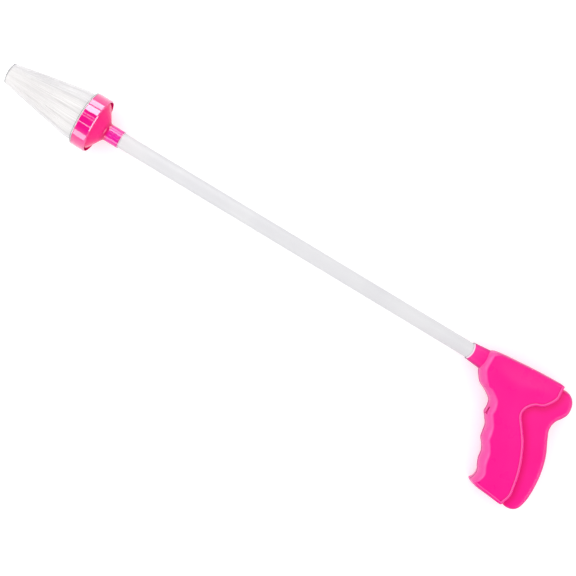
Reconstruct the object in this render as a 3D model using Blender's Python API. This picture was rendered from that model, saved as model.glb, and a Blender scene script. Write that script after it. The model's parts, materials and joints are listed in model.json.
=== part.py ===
"""Spider catcher: a long tube with a pistol grip at one end and a cage of soft bristles at the other.

Squeezing the lever at the back of the grip pushes a rod through the tube. The rod's hub lifts the
inner ends of twelve wedges of bristle backing, which tip about their outer edges and splay the tufts.

Everything is drawn in the tool's own frame: the origin is on the tube's axis at the mouth of the
grip's collar, +X runs to the bristles, +Y to the bottom of the grip and +Z out of the upper cheek.
One empty then lays the tool on its side, as it rests on a table. Lengths are in metres.
"""

import math

import bmesh
import bpy
from mathutils import Matrix, Vector

# Clearances
FIT = 0.0003
PARTING_GAP = 0.0003
OVERRUN = 0.004

# Reach tube
TUBE_RADIUS = 0.0080
TUBE_WALL = 0.0011
TUBE_SHOWING = 0.402
GUIDE_LENGTH = 0.006
GUIDE_PLACE_SHARES = (0.24, 0.52, 0.8)

# Grip: depth from the collar's mouth to the middle of the rear lip, drop from the axis to the pin
GRIP_DEPTH = 0.100
GRIP_DROP = 0.100
GRIP_HALF_THICKNESS = 0.016
GRIP_WALL = 0.002
EDGE_ROUNDING = 0.0075
SOCKET_WALL = 0.0006
COLLAR_FLARE = 0.0023
COLLAR_INSIDE = 0.0093
COLLAR_STOP = 0.0037
COLLAR_WAIST_SHARES = (0.67, 0.75)
SLOT_LENGTH = 0.008
SLOT_WIDTH = 0.0021

# Shell screws
SCREW_SHANK_RADIUS = 0.0014
SCREW_HEAD_RADIUS = 0.0029
SCREW_HEAD_HEIGHT = 0.002
SCREW_RECESS = 0.003
SCREW_BITE = 0.008
BOSS_WALL = 0.0012

# Squeeze lever and its pin
LEVER_WALL = 0.002
LEVER_GAP = 0.0004
PAD_THICKNESS = 0.004
PIN_RADIUS = 0.002
PIN_SEAT = 0.001
PIVOT_BOSS_WALL = 0.0027

# Push rod, its tail cap and its return spring
ROD_RADIUS = 0.0025
ROD_SEAT = 0.0035
CAP_LIP = 0.0008
CAP_THICKNESS = 0.0046
SPIGOT_LENGTH = 0.004
SPIGOT_WALL = 0.0013
NOSE_RADIUS = 0.0026
NOSE_LENGTH = 0.003
WIRE_RADIUS = 0.0005
SPRING_TURNS = 9

# Head: neck, funnel and ring
NECK_LENGTH = 0.0165
NECK_STOP = 0.0015
NECK_STOP_LIP = 0.0013
NECK_FILLET = 0.0022
FUNNEL_RIM_STEP = 0.0023
FUNNEL_DEPTH = 0.0105
FUNNEL_WALL = 0.0015
RING_RADIUS = 0.0285
RING_WALL = 0.0013
RING_WIDTH = 0.0147
RING_BEHIND_FUNNEL_RIM = 0.001
SEAT_THICKNESS = 0.002
RETAINER_THICKNESS = 0.0013
RETAINER_SKIRT = 0.0006
RETAINER_LIP = 0.0012

# Bristle tufts: wedges of backing, each an outer slice with a rolled edge and an arm with a bead
TUFTS = 12
HINGE_BEAD_RADIUS = 0.0009
BACKING_THICKNESS = 0.0016
WEDGE_GAP = 0.0004
INNER_BEAD_RADIUS = 0.0013
STRAND_ROWS = 7
STRAND_REACH = 0.0892
STRAND_BASE_RADIUS = 0.00045
STRAND_TIP_RADIUS = 0.00025
STRAND_BOW = 1.25
# The inner row's distance from the axis at the base, and the inner and outer rows' at the tips, as
# shares of the hinges' distance from it
BASE_ROW_SHARE = 0.6
TIP_ROW_SHARES = (0.13, 0.41)

# Plunger hub
HUB_BOSS_WALL = 0.0016
HUB_BOSS_LENGTH = 0.008
HUB_CORE_WALL = 0.0018
HUB_FLANGE_MARGIN = 0.0016
HUB_FLANGE_THICKNESS = 0.0018
WASHER_REACH = 0.0012
WASHER_THICKNESS = 0.0014
BEAD_PLAY = 0.0005
HUB_SCREW_HEAD_MARGIN = 0.0014
HUB_SCREW_HEAD_HEIGHT = 0.0018
HUB_SCREW_BITE = 0.0042

# Faceting
TUBE_SIDES = 24
RING_SIDES = 36
SMALL_SIDES = 12
BEAD_SIDES = 8
STRAND_SIDES = 3
SPRING_POINTS_PER_TURN = 8
STEPS_PER_ROW = 2
SHARP_ABOVE_DEGREES = 35

# How far round its quarter ellipse each ring of an edge lies, in degrees from the parting plane
SHELL_EDGE_DEGREES = (0, 35, 65, 90)
SHELL_HOLLOW_DEGREES = (-20, 30, 60, 90)
LEVER_EDGE_DEGREES = (-90, -60, -30, 0, 30, 60, 90)
LEVER_HOLLOW_DEGREES = (-90, -50, 0, 50, 90)

# Side view of the grip's wall, from its top rear corner forwards, down the finger side and back along
# the bottom. Each row is a share of GRIP_DEPTH, of GRIP_DROP and of EDGE_ROUNDING.
WALL_SHARES = (
    (-0.962, -0.171, 0.15),
    (-0.930, -0.181, 0.35),
    (-0.840, -0.182, 0.42),
    (-0.650, -0.173, 0.45),
    (-0.450, -0.157, 0.45),
    (-0.270, -0.139, 0.50),
    (-0.185, -0.116, 0.75),
    (-0.147, -0.060, 1.00),
    (-0.147, 0.060, 1.00),
    (-0.168, 0.115, 0.90),
    (-0.197, 0.160, 0.90),
    (-0.245, 0.216, 0.90),
    (-0.310, 0.250, 0.90),
    (-0.365, 0.282, 0.90),
    (-0.410, 0.320, 0.95),
    (-0.427, 0.380, 1.00),
    (-0.430, 0.440, 1.00),
    (-0.467, 0.490, 0.90),
    (-0.507, 0.550, 0.90),
    (-0.521, 0.620, 1.00),
    (-0.536, 0.680, 0.95),
    (-0.575, 0.730, 0.90),
    (-0.608, 0.790, 0.95),
    (-0.620, 0.865, 1.00),
    (-0.645, 0.925, 0.90),
    (-0.675, 0.985, 0.85),
    (-0.672, 1.045, 0.60),
    (-0.658, 1.085, 0.35),
    (-0.685, 1.110, 0.35),
    (-0.740, 1.124, 0.35),
    (-0.860, 1.136, 0.35),
    (-0.985, 1.146, 0.25),
    (-1.020, 1.142, 0.12),
)
# The S-shaped rear lip, from the bottom up to the top rear corner
LIP_SHARES = (
    (-1.020, 1.142, 0.12),
    (-1.040, 1.095, 0.12),
    (-1.055, 1.050, 0.12),
    (-1.059, 1.000, 0.12),
    (-1.046, 0.920, 0.12),
    (-1.023, 0.808, 0.12),
    (-0.981, 0.679, 0.12),
    (-0.937, 0.579, 0.12),
    (-0.885, 0.482, 0.12),
    (-0.789, 0.352, 0.12),
    (-0.749, 0.298, 0.12),
    (-0.739, 0.249, 0.12),
    (-0.760, 0.192, 0.12),
    (-0.809, 0.143, 0.12),
    (-0.882, 0.110, 0.12),
    (-0.940, 0.038, 0.12),
    (-0.972, -0.035, 0.12),
    (-0.969, -0.095, 0.12),
    (-0.962, -0.171, 0.15),
)
REAR_MOUTH_SHARE = -1.20

# Side view of the lever: its palm side from the top down to the bottom, then its hidden front edge
PALM_SHARES = (
    (-0.860, -0.146, 0.50),
    (-0.950, -0.148, 0.50),
    (-1.043, -0.147, 0.60),
    (-1.102, -0.119, 0.80),
    (-1.143, -0.065, 0.80),
    (-1.158, 0.000, 0.80),
    (-1.154, 0.060, 0.80),
    (-1.126, 0.116, 0.80),
    (-1.092, 0.165, 0.80),
    (-1.074, 0.220, 0.80),
    (-1.078, 0.280, 0.80),
    (-1.103, 0.340, 0.80),
    (-1.142, 0.420, 0.80),
    (-1.180, 0.500, 0.80),
    (-1.212, 0.600, 0.80),
    (-1.234, 0.710, 0.80),
    (-1.245, 0.830, 0.80),
    (-1.245, 0.940, 0.80),
    (-1.233, 1.020, 0.70),
    (-1.208, 1.090, 0.60),
    (-1.160, 1.135, 0.50),
    (-1.100, 1.147, 0.40),
    (-1.050, 1.135, 0.30),
    (-1.010, 1.112, 0.15),
    (-0.950, 1.108, 0.05),
)
LEVER_FRONT_SHARES = (
    (-0.950, 1.108, 0.05),
    (-0.915, 1.070, 0.05),
    (-0.905, 1.000, 0.05),
    (-0.910, 0.900, 0.05),
    (-0.900, 0.800, 0.05),
    (-0.880, 0.680, 0.05),
    (-0.840, 0.580, 0.05),
    (-0.790, 0.490, 0.05),
    (-0.700, 0.370, 0.05),
    (-0.660, 0.310, 0.05),
    (-0.645, 0.250, 0.05),
    (-0.670, 0.180, 0.05),
    (-0.740, 0.115, 0.05),
    (-0.820, 0.050, 0.05),
    (-0.845, -0.060, 0.05),
    (-0.860, -0.146, 0.50),
)
FRONT_MOUTH_SHARE = -0.55

# Places in the side view, as shares of GRIP_DEPTH and GRIP_DROP
BOSS_PLACE_SHARES = ((-0.34, 0.17), (-0.62, -0.112), (-0.66, 0.62), (-0.79, 1.02))
PIVOT_SHARES = (-0.97, 1.0)
PAD_FRONT_SHARE = -0.88
PAD_HALF_HEIGHT_SHARE = 0.09
SLOT_PLACE_SHARES = (-0.434, 0.416)
SLOT_HEIGHT_SHARE = 0.62

# Sizes of the grip and of what moves in it, from those above
SOCKET_RADIUS = TUBE_RADIUS + FIT
SOCKET_OUTER = SOCKET_RADIUS + SOCKET_WALL
TUBE_BORE = TUBE_RADIUS - TUBE_WALL
WALL_FRONT_X = max(x for x, _, _ in WALL_SHARES) * GRIP_DEPTH
COLLAR_LENGTH = COLLAR_INSIDE - WALL_FRONT_X
COLLAR_SEAT_X = COLLAR_STOP - COLLAR_LENGTH
ROD_CLEAR = ROD_RADIUS + FIT
LEVER_HALF_THICKNESS = GRIP_HALF_THICKNESS - GRIP_WALL - LEVER_GAP
PIVOT = Vector((PIVOT_SHARES[0] * GRIP_DEPTH, PIVOT_SHARES[1] * GRIP_DROP))
PAD_FRONT_X = PAD_FRONT_SHARE * GRIP_DEPTH
PAD_HALF_HEIGHT = PAD_HALF_HEIGHT_SHARE * GRIP_DROP
NOSE_X = PAD_FRONT_X + LEVER_GAP
CAP_BACK_X = NOSE_X + NOSE_LENGTH
CAP_FRONT_X = CAP_BACK_X + CAP_THICKNESS
SPIGOT_RADIUS = ROD_CLEAR + SPIGOT_WALL
SPRING_RADIUS = SPIGOT_RADIUS + FIT + WIRE_RADIUS
CAP_RADIUS = SPRING_RADIUS + WIRE_RADIUS + CAP_LIP
BOSS_RADIUS = SCREW_HEAD_RADIUS + FIT + BOSS_WALL

# Places along the head, from those above
NECK_X = TUBE_SHOWING
FUNNEL_X = NECK_X + NECK_LENGTH
NECK_SEAT_X = FUNNEL_X - NECK_STOP
FUNNEL_RIM_X = FUNNEL_X + FUNNEL_DEPTH
RING_BACK_X = FUNNEL_RIM_X - RING_BEHIND_FUNNEL_RIM
RING_FRONT_X = RING_BACK_X + RING_WIDTH
RING_BORE = RING_RADIUS - RING_WALL
FUNNEL_RADIUS = RING_BORE - FUNNEL_RIM_STEP
HINGE_X = RING_FRONT_X - RETAINER_SKIRT - HINGE_BEAD_RADIUS
SEAT_X = HINGE_X - HINGE_BEAD_RADIUS - FIT
SECTOR = math.tau / TUFTS
HALF_SECTOR_SLOPE = math.tan(SECTOR / 2)
# The hinge line is a chord, so the outer corners of its bead have to pass inside the ring
HINGE_PLACE = (RING_BORE - FIT) * math.cos(SECTOR / 2) - HINGE_BEAD_RADIUS
BASE_ROWS = (BASE_ROW_SHARE * HINGE_PLACE, HINGE_PLACE - FIT - STRAND_BASE_RADIUS / 2)
TIP_ROWS = (TIP_ROW_SHARES[0] * HINGE_PLACE, TIP_ROW_SHARES[1] * HINGE_PLACE)
# The slice reaches in just past its inner row of strands, and the arm carries on from there
SLICE_PLACE = BASE_ROWS[0] - STRAND_BASE_RADIUS - FIT / 2

# Sizes of the hub and of the beads that it traps, from those above
HUB_SCREW_CLEAR = SCREW_SHANK_RADIUS + FIT
HUB_SCREW_HEAD_RADIUS = HUB_SCREW_CLEAR + HUB_SCREW_HEAD_MARGIN
HUB_CORE_RADIUS = HUB_SCREW_CLEAR + HUB_CORE_WALL
HUB_BOSS_RADIUS = ROD_CLEAR + HUB_BOSS_WALL
INNER_BEAD_PLACE = HUB_CORE_RADIUS + BEAD_PLAY + INNER_BEAD_RADIUS
HUB_FLANGE_RADIUS = INNER_BEAD_PLACE + INNER_BEAD_RADIUS + HUB_FLANGE_MARGIN
WASHER_RADIUS = INNER_BEAD_PLACE + WASHER_REACH
FLANGE_X = HINGE_X - INNER_BEAD_RADIUS - FIT
FLANGE_BACK_X = FLANGE_X - HUB_FLANGE_THICKNESS
WASHER_X = HINGE_X + INNER_BEAD_RADIUS + BEAD_PLAY
HUB_BACK_X = FLANGE_BACK_X - HUB_BOSS_LENGTH
ROD_FRONT_X = FLANGE_BACK_X - FIT


def clear_scene():
    """Remove every object that the file opened with."""
    for found in list(bpy.data.objects):
        bpy.data.objects.remove(found, do_unlink=True)


def material(name, colour, roughness, metallic=0.0, transmission=0.0):
    """A Principled material for one sub-part."""
    made = bpy.data.materials.new(name)
    made.use_nodes = True
    shader = made.node_tree.nodes["Principled BSDF"]
    shader.inputs["Base Color"].default_value = (*colour, 1.0)
    shader.inputs["Roughness"].default_value = roughness
    shader.inputs["Metallic"].default_value = metallic
    shader.inputs["Transmission Weight"].default_value = transmission
    return made


def pink(name, roughness=0.32):
    """The hot pink moulding."""
    return material(name, (1.0, 0.012, 0.27), roughness)


def steel(name):
    """Plated steel, for pins, screws and the spring."""
    return material(name, (0.62, 0.63, 0.65), 0.3, metallic=1.0)


def white(name):
    """White moulding, for what is inside the tube."""
    return material(name, (0.85, 0.85, 0.87), 0.4)


def clear(name):
    """Clear plastic, for the bristles and their retainer."""
    return material(name, (0.93, 0.94, 0.96), 0.15, transmission=0.6)


def mesh_from(shape, name):
    """Turn a bmesh into a mesh with its faces pointing out."""
    bmesh.ops.recalc_face_normals(shape, faces=shape.faces)
    mesh = bpy.data.meshes.new(name)
    shape.to_mesh(mesh)
    shape.free()
    return mesh


def place(name, mesh, parent, finish, at=(0, 0, 0)):
    """Put a mesh into the scene as one sub-part, shaded smooth but for its real edges."""
    made = bpy.data.objects.new(name, mesh)
    bpy.context.scene.collection.objects.link(made)
    made.parent = parent
    made.location = at
    mesh.materials.clear()
    mesh.materials.append(finish)
    mesh.shade_smooth()
    mesh.set_sharp_from_angle(angle=math.radians(SHARP_ABOVE_DEGREES))
    return made


def helper(name, mesh, parent, at=(0, 0, 0)):
    """Put a mesh into the scene as a shape that only cuts or joins."""
    made = bpy.data.objects.new(name, mesh)
    bpy.context.scene.collection.objects.link(made)
    made.parent = parent
    made.location = at
    made.hide_render = True
    made.display_type = "WIRE"
    return made


def combine(target, other, operation):
    """Add an exact Boolean of the target and a helper."""
    step = target.modifiers.new(f"{operation.title()} {other.name}", "BOOLEAN")
    step.operation = operation
    step.solver = "EXACT"
    step.object = other


def turned(name, profile, sides):
    """Spin a closed profile of (x, radius) points once round the X axis."""
    shape = bmesh.new()
    ring = [shape.verts.new((x, radius, 0)) for x, radius in profile]
    edges = [shape.edges.new((ring[i - 1], ring[i])) for i in range(len(ring))]
    bmesh.ops.spin(
        shape,
        geom=ring + edges,
        cent=(0, 0, 0),
        axis=(1, 0, 0),
        angle=math.tau,
        steps=sides,
        use_merge=True,
    )
    bmesh.ops.remove_doubles(shape, verts=shape.verts, dist=FIT / 100)
    flat = [edge for edge in shape.edges if not edge.link_faces]
    bmesh.ops.delete(shape, geom=flat, context="EDGES")
    return mesh_from(shape, name)


def rod_along_z(name, radius, low, high, sides, place_at=(0, 0)):
    """A solid rod from low to high along Z."""
    shape = bmesh.new()
    bmesh.ops.create_cone(
        shape,
        cap_ends=True,
        segments=sides,
        radius1=radius,
        radius2=radius,
        depth=high - low,
        matrix=Matrix.Translation((*place_at, (low + high) / 2)),
    )
    return mesh_from(shape, name)


def block(name, low, high):
    """A box between two corners."""
    shape = bmesh.new()
    low = Vector(low)
    high = Vector(high)
    size = Matrix.Diagonal((*(high - low), 1))
    bmesh.ops.create_cube(shape, size=1, matrix=Matrix.Translation((low + high) / 2) @ size)
    return mesh_from(shape, name)


def stacked(name, rings):
    """Join rings of equally many points into one closed skin with a flat cap at each end."""
    shape = bmesh.new()
    levels = [[shape.verts.new(point) for point in ring] for ring in rings]
    for lower, upper in zip(levels, levels[1:]):
        for i in range(len(lower)):
            shape.faces.new((lower[i - 1], lower[i], upper[i], upper[i - 1]))
    shape.faces.new(levels[0])
    shape.faces.new(levels[-1])
    return mesh_from(shape, name)


def smooth_run(points):
    """Points on a Catmull-Rom curve from the first point up to, but not with, the last."""
    padded = [2 * points[0] - points[1], *points, 2 * points[-1] - points[-2]]
    run = []
    for before, start, end, after in zip(padded, padded[1:], padded[2:], padded[3:]):
        for step in range(STEPS_PER_ROW):
            t = step / STEPS_PER_ROW
            run.append(
                start
                + (end - before) * (t / 2)
                + (2 * before - 5 * start + 4 * end - after) * (t * t / 2)
                + (3 * start - before - 3 * end + after) * (t * t * t / 2)
            )
    return run


def inset_rows(rows, inset, rounding):
    """Side-view points of closed rows, each moved inwards by inset plus its share of rounding."""
    points = [Vector((x * GRIP_DEPTH, y * GRIP_DROP)) for x, y, _ in rows]
    area = sum(a.x * b.y - a.y * b.x for a, b in zip(points, points[1:] + points[:1]))
    turn = math.copysign(1, area)
    moved = []
    for i, point in enumerate(points):
        along = (points[(i + 1) % len(points)] - points[i - 1]).normalized()
        inwards = Vector((-along.y, along.x)) * turn
        moved.append(point + inwards * (inset + rows[i][2] * rounding))
    return moved


def side_view(first, second, rounding):
    """A closed side view drawn as two smooth runs that meet in corners."""
    moved = inset_rows(first[:-1] + second[:-1], 0, rounding)
    corner = len(first) - 1
    return smooth_run(moved[: corner + 1]) + smooth_run(moved[corner:] + moved[:1])


def hollow_view(first, second, mouth_x, wall, rounding):
    """The side view of a hollow: inside the first run by its wall, open past the second to mouth_x."""
    moved = inset_rows(first[:-1] + second[:-1], wall, rounding)[1 : len(first) - 1]
    return moved + [Vector((mouth_x, moved[-1].y)), Vector((mouth_x, moved[0].y))]


def rounded_levels(half_thickness, angles, view):
    """Rings whose edge follows a quarter ellipse, from 0 degrees at the middle to 90 at the cheek."""
    levels = []
    for degrees in angles:
        angle = math.radians(degrees)
        height = half_thickness * math.sin(angle)
        drawn = view(EDGE_ROUNDING * (1 - math.cos(angle)))
        levels.append([(point.x, point.y, height) for point in drawn])
    return levels


def grip_shell(name, side, root):
    """One half of the grip: side is +1 for the cheek that faces up and -1 for the other."""
    outer_levels = rounded_levels(
        GRIP_HALF_THICKNESS,
        SHELL_EDGE_DEGREES,
        lambda rounding: side_view(WALL_SHARES, LIP_SHARES, rounding),
    )
    shell = place(name, stacked(name, flipped(outer_levels, side)), root, pink(name))
    mouth_x = REAR_MOUTH_SHARE * GRIP_DEPTH
    hollow_levels = rounded_levels(
        GRIP_HALF_THICKNESS - GRIP_WALL,
        SHELL_HOLLOW_DEGREES,
        lambda rounding: hollow_view(WALL_SHARES, LIP_SHARES, mouth_x, GRIP_WALL, rounding),
    )
    hollow = helper(f"{name}_hollow", stacked("hollow", flipped(hollow_levels, side)), root)
    combine(shell, hollow, "DIFFERENCE")
    collar = turned("collar", collar_profile(), TUBE_SIDES)
    combine(shell, helper(f"{name}_collar", collar, root), "UNION")
    inner_z = GRIP_HALF_THICKNESS - GRIP_WALL / 2
    for i, (x_share, y_share) in enumerate(BOSS_PLACE_SHARES, start=1):
        at = (x_share * GRIP_DEPTH, y_share * GRIP_DROP)
        span = sorted((0, side * inner_z))
        boss = rod_along_z("boss", BOSS_RADIUS, *span, SMALL_SIDES, at)
        combine(shell, helper(f"{name}_boss_{i}", boss, root), "UNION")
    combine(shell, helper(f"{name}_other_half", other_half(side), root), "DIFFERENCE")
    bore = turned("bore", tube_bore_profile(), TUBE_SIDES)
    combine(shell, helper(f"{name}_bore", bore, root), "DIFFERENCE")
    pin_hole = rod_along_z(
        "pin hole", PIN_RADIUS + FIT, -pin_reach() - FIT, pin_reach() + FIT, SMALL_SIDES, PIVOT
    )
    combine(shell, helper(f"{name}_pin_hole", pin_hole, root), "DIFFERENCE")
    for i, (x_share, y_share) in enumerate(BOSS_PLACE_SHARES, start=1):
        at = (x_share * GRIP_DEPTH, y_share * GRIP_DROP)
        hole = screw_hole(side, at)
        combine(shell, helper(f"{name}_screw_hole_{i}", hole, root), "DIFFERENCE")
    return shell


def flipped(levels, side):
    """The same rings with their heights multiplied by side."""
    return [[(x, y, z * side) for x, y, z in ring] for ring in levels]


def collar_profile():
    """The collar that the tube slides into, a cone that grows into the grip."""
    waist_x, waist_flare = COLLAR_WAIST_SHARES
    return (
        (0, 0),
        (0, SOCKET_OUTER),
        (-COLLAR_LENGTH * waist_x, SOCKET_OUTER + COLLAR_FLARE * waist_flare),
        (-COLLAR_LENGTH, SOCKET_OUTER + COLLAR_FLARE),
        (-COLLAR_LENGTH, 0),
    )


def tube_bore_profile():
    """The socket for the tube, and the narrower way through its stop for the rod."""
    return (
        (OVERRUN, 0),
        (OVERRUN, SOCKET_RADIUS),
        (COLLAR_SEAT_X, SOCKET_RADIUS),
        (COLLAR_SEAT_X, ROD_CLEAR),
        (-COLLAR_LENGTH - OVERRUN, ROD_CLEAR),
        (-COLLAR_LENGTH - OVERRUN, 0),
    )


def other_half(side):
    """A block over all that a shell must not reach: the far side of the parting plane."""
    reach = GRIP_DEPTH + GRIP_DROP
    near = side * PARTING_GAP / 2
    far = -side * (GRIP_HALF_THICKNESS + OVERRUN)
    return block("other half", (-reach, -reach, min(near, far)), (reach, reach, max(near, far)))


def pin_reach():
    """How far the pin and its seats go to each side of the parting plane."""
    return GRIP_HALF_THICKNESS - GRIP_WALL + PIN_SEAT


def screw_seat_z():
    """The height of the screw heads' seats, in the lower shell."""
    return -GRIP_HALF_THICKNESS + SCREW_RECESS


def screw_hole(side, at):
    """A blind pilot hole in the upper shell, or a clearance hole with a recess in the lower one."""
    radius = SCREW_SHANK_RADIUS + FIT
    if side > 0:
        return rod_along_z("pilot", radius, -OVERRUN, SCREW_BITE + FIT, SMALL_SIDES, at)
    bottom = -GRIP_HALF_THICKNESS - OVERRUN
    head = SCREW_HEAD_RADIUS + FIT
    rings = [
        circle(at, head, bottom),
        circle(at, head, screw_seat_z()),
        circle(at, radius, screw_seat_z()),
        circle(at, radius, OVERRUN),
    ]
    return stacked("screw hole", rings)


def circle(at, radius, height):
    """Points of a small circle at one height."""
    turns = [math.tau * i / SMALL_SIDES for i in range(SMALL_SIDES)]
    return [(at[0] + radius * math.cos(a), at[1] + radius * math.sin(a), height) for a in turns]


def cut_slot(shell, root):
    """The narrow slot through the finger side of the upper shell."""
    x = SLOT_PLACE_SHARES[0] * GRIP_DEPTH
    y = SLOT_PLACE_SHARES[1] * GRIP_DROP
    z = SLOT_HEIGHT_SHARE * GRIP_HALF_THICKNESS
    low = (x - OVERRUN, y - SLOT_LENGTH / 2, z - SLOT_WIDTH / 2)
    high = (x + OVERRUN, y + SLOT_LENGTH / 2, z + SLOT_WIDTH / 2)
    combine(shell, helper("slot", block("slot", low, high), root), "DIFFERENCE")


def shell_screw(number, at, root):
    """One screw that draws the shells together, its head in the lower shell."""
    seat = screw_seat_z() - FIT
    rings = [
        circle((0, 0), SCREW_HEAD_RADIUS, seat - SCREW_HEAD_HEIGHT),
        circle((0, 0), SCREW_HEAD_RADIUS, seat),
        circle((0, 0), SCREW_SHANK_RADIUS, seat),
        circle((0, 0), SCREW_SHANK_RADIUS, SCREW_BITE),
    ]
    name = f"shell_screw_{number:02d}"
    place(name, stacked(name, rings), root, steel(name), (*at, 0))


def squeeze_lever(root):
    """The lever under the palm: a channel open to the front, with a push pad and a pivot boss."""
    name = "squeeze_lever"
    shift = Matrix.Translation((-PIVOT.x, -PIVOT.y, 0))
    body = stacked(
        name,
        rounded_levels(
            LEVER_HALF_THICKNESS,
            LEVER_EDGE_DEGREES,
            lambda rounding: side_view(PALM_SHARES, LEVER_FRONT_SHARES, rounding),
        ),
    )
    body.transform(shift)
    lever = place(name, body, root, pink(name), (*PIVOT, 0))
    inner_z = LEVER_HALF_THICKNESS - LEVER_WALL
    mouth_x = FRONT_MOUTH_SHARE * GRIP_DEPTH
    hollow = stacked(
        "lever hollow",
        rounded_levels(
            inner_z,
            LEVER_HOLLOW_DEGREES,
            lambda rounding: hollow_view(
                PALM_SHARES, LEVER_FRONT_SHARES, mouth_x, LEVER_WALL, rounding
            ),
        ),
    )
    combine(lever, helper("lever_hollow", hollow, root), "DIFFERENCE")
    embedded = inner_z + LEVER_WALL / 2
    pad = block(
        "pad",
        (PAD_FRONT_X - PAD_THICKNESS, -PAD_HALF_HEIGHT, -embedded),
        (PAD_FRONT_X, PAD_HALF_HEIGHT, embedded),
    )
    combine(lever, helper("lever_pad", pad, root), "UNION")
    boss_radius = PIN_RADIUS + FIT + PIVOT_BOSS_WALL
    boss = rod_along_z("boss", boss_radius, -embedded, embedded, SMALL_SIDES, PIVOT)
    combine(lever, helper("lever_boss", boss, root), "UNION")
    through = LEVER_HALF_THICKNESS + OVERRUN
    bore = rod_along_z("bore", PIN_RADIUS + FIT, -through, through, SMALL_SIDES, PIVOT)
    combine(lever, helper("lever_bore", bore, root), "DIFFERENCE")
    pin = rod_along_z("pin", PIN_RADIUS, -pin_reach(), pin_reach(), SMALL_SIDES)
    place("lever_pivot_pin", pin, root, steel("lever_pivot_pin"), (*PIVOT, 0))


def push_rod_parts(root):
    """The rod, the cap on its tail that the lever pushes, and the spring that sends it back."""
    rod_back = CAP_FRONT_X - ROD_SEAT + FIT
    rod = turned(
        "push_rod",
        ((rod_back, 0), (rod_back, ROD_RADIUS), (ROD_FRONT_X, ROD_RADIUS), (ROD_FRONT_X, 0)),
        SMALL_SIDES,
    )
    place("push_rod", rod, root, white("push_rod"))
    spigot_x = CAP_FRONT_X + SPIGOT_LENGTH
    cap = turned(
        "rod_tail_cap",
        (
            (NOSE_X, 0),
            (NOSE_X, NOSE_RADIUS),
            (CAP_BACK_X, NOSE_RADIUS),
            (CAP_BACK_X, CAP_RADIUS),
            (CAP_FRONT_X, CAP_RADIUS),
            (CAP_FRONT_X, SPIGOT_RADIUS),
            (spigot_x, SPIGOT_RADIUS),
            (spigot_x, ROD_CLEAR),
            (CAP_FRONT_X - ROD_SEAT, ROD_CLEAR),
            (CAP_FRONT_X - ROD_SEAT, 0),
        ),
        TUBE_SIDES,
    )
    place("rod_tail_cap", cap, root, white("rod_tail_cap"))
    return_spring(root)


def return_spring(root):
    """A coil spring round the rod, between the collar's stop and the tail cap."""
    back = CAP_FRONT_X + FIT + WIRE_RADIUS
    front = -COLLAR_LENGTH - FIT - WIRE_RADIUS
    steps = SPRING_TURNS * SPRING_POINTS_PER_TURN
    curve = bpy.data.curves.new("return_spring", "CURVE")
    curve.dimensions = "3D"
    curve.bevel_depth = WIRE_RADIUS
    curve.bevel_resolution = 1
    curve.use_fill_caps = True
    coil = curve.splines.new("POLY")
    coil.points.add(steps)
    for i in range(steps + 1):
        turn = math.tau * i / SPRING_POINTS_PER_TURN
        x = back + (front - back) * i / steps
        y = SPRING_RADIUS * math.cos(turn)
        z = SPRING_RADIUS * math.sin(turn)
        coil.points[i].co = (x, y, z, 1)
    spring = bpy.data.objects.new("return_spring", curve)
    bpy.context.scene.collection.objects.link(spring)
    spring.parent = root
    curve.materials.append(steel("return_spring"))


def tube_parts(root):
    """The long tube and the guides that centre the rod in it."""
    back = COLLAR_SEAT_X + FIT
    front = NECK_SEAT_X - FIT
    tube = turned(
        "reach_tube",
        ((back, TUBE_BORE), (back, TUBE_RADIUS), (front, TUBE_RADIUS), (front, TUBE_BORE)),
        TUBE_SIDES,
    )
    place("reach_tube", tube, root, white("reach_tube"))
    outer = TUBE_BORE - FIT
    for number, share in enumerate(GUIDE_PLACE_SHARES, start=1):
        name = f"rod_guide_{number:02d}"
        low = TUBE_SHOWING * share - GUIDE_LENGTH / 2
        high = low + GUIDE_LENGTH
        guide = turned(
            name, ((low, ROD_CLEAR), (low, outer), (high, outer), (high, ROD_CLEAR)), TUBE_SIDES
        )
        place(name, guide, root, white(name))


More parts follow.
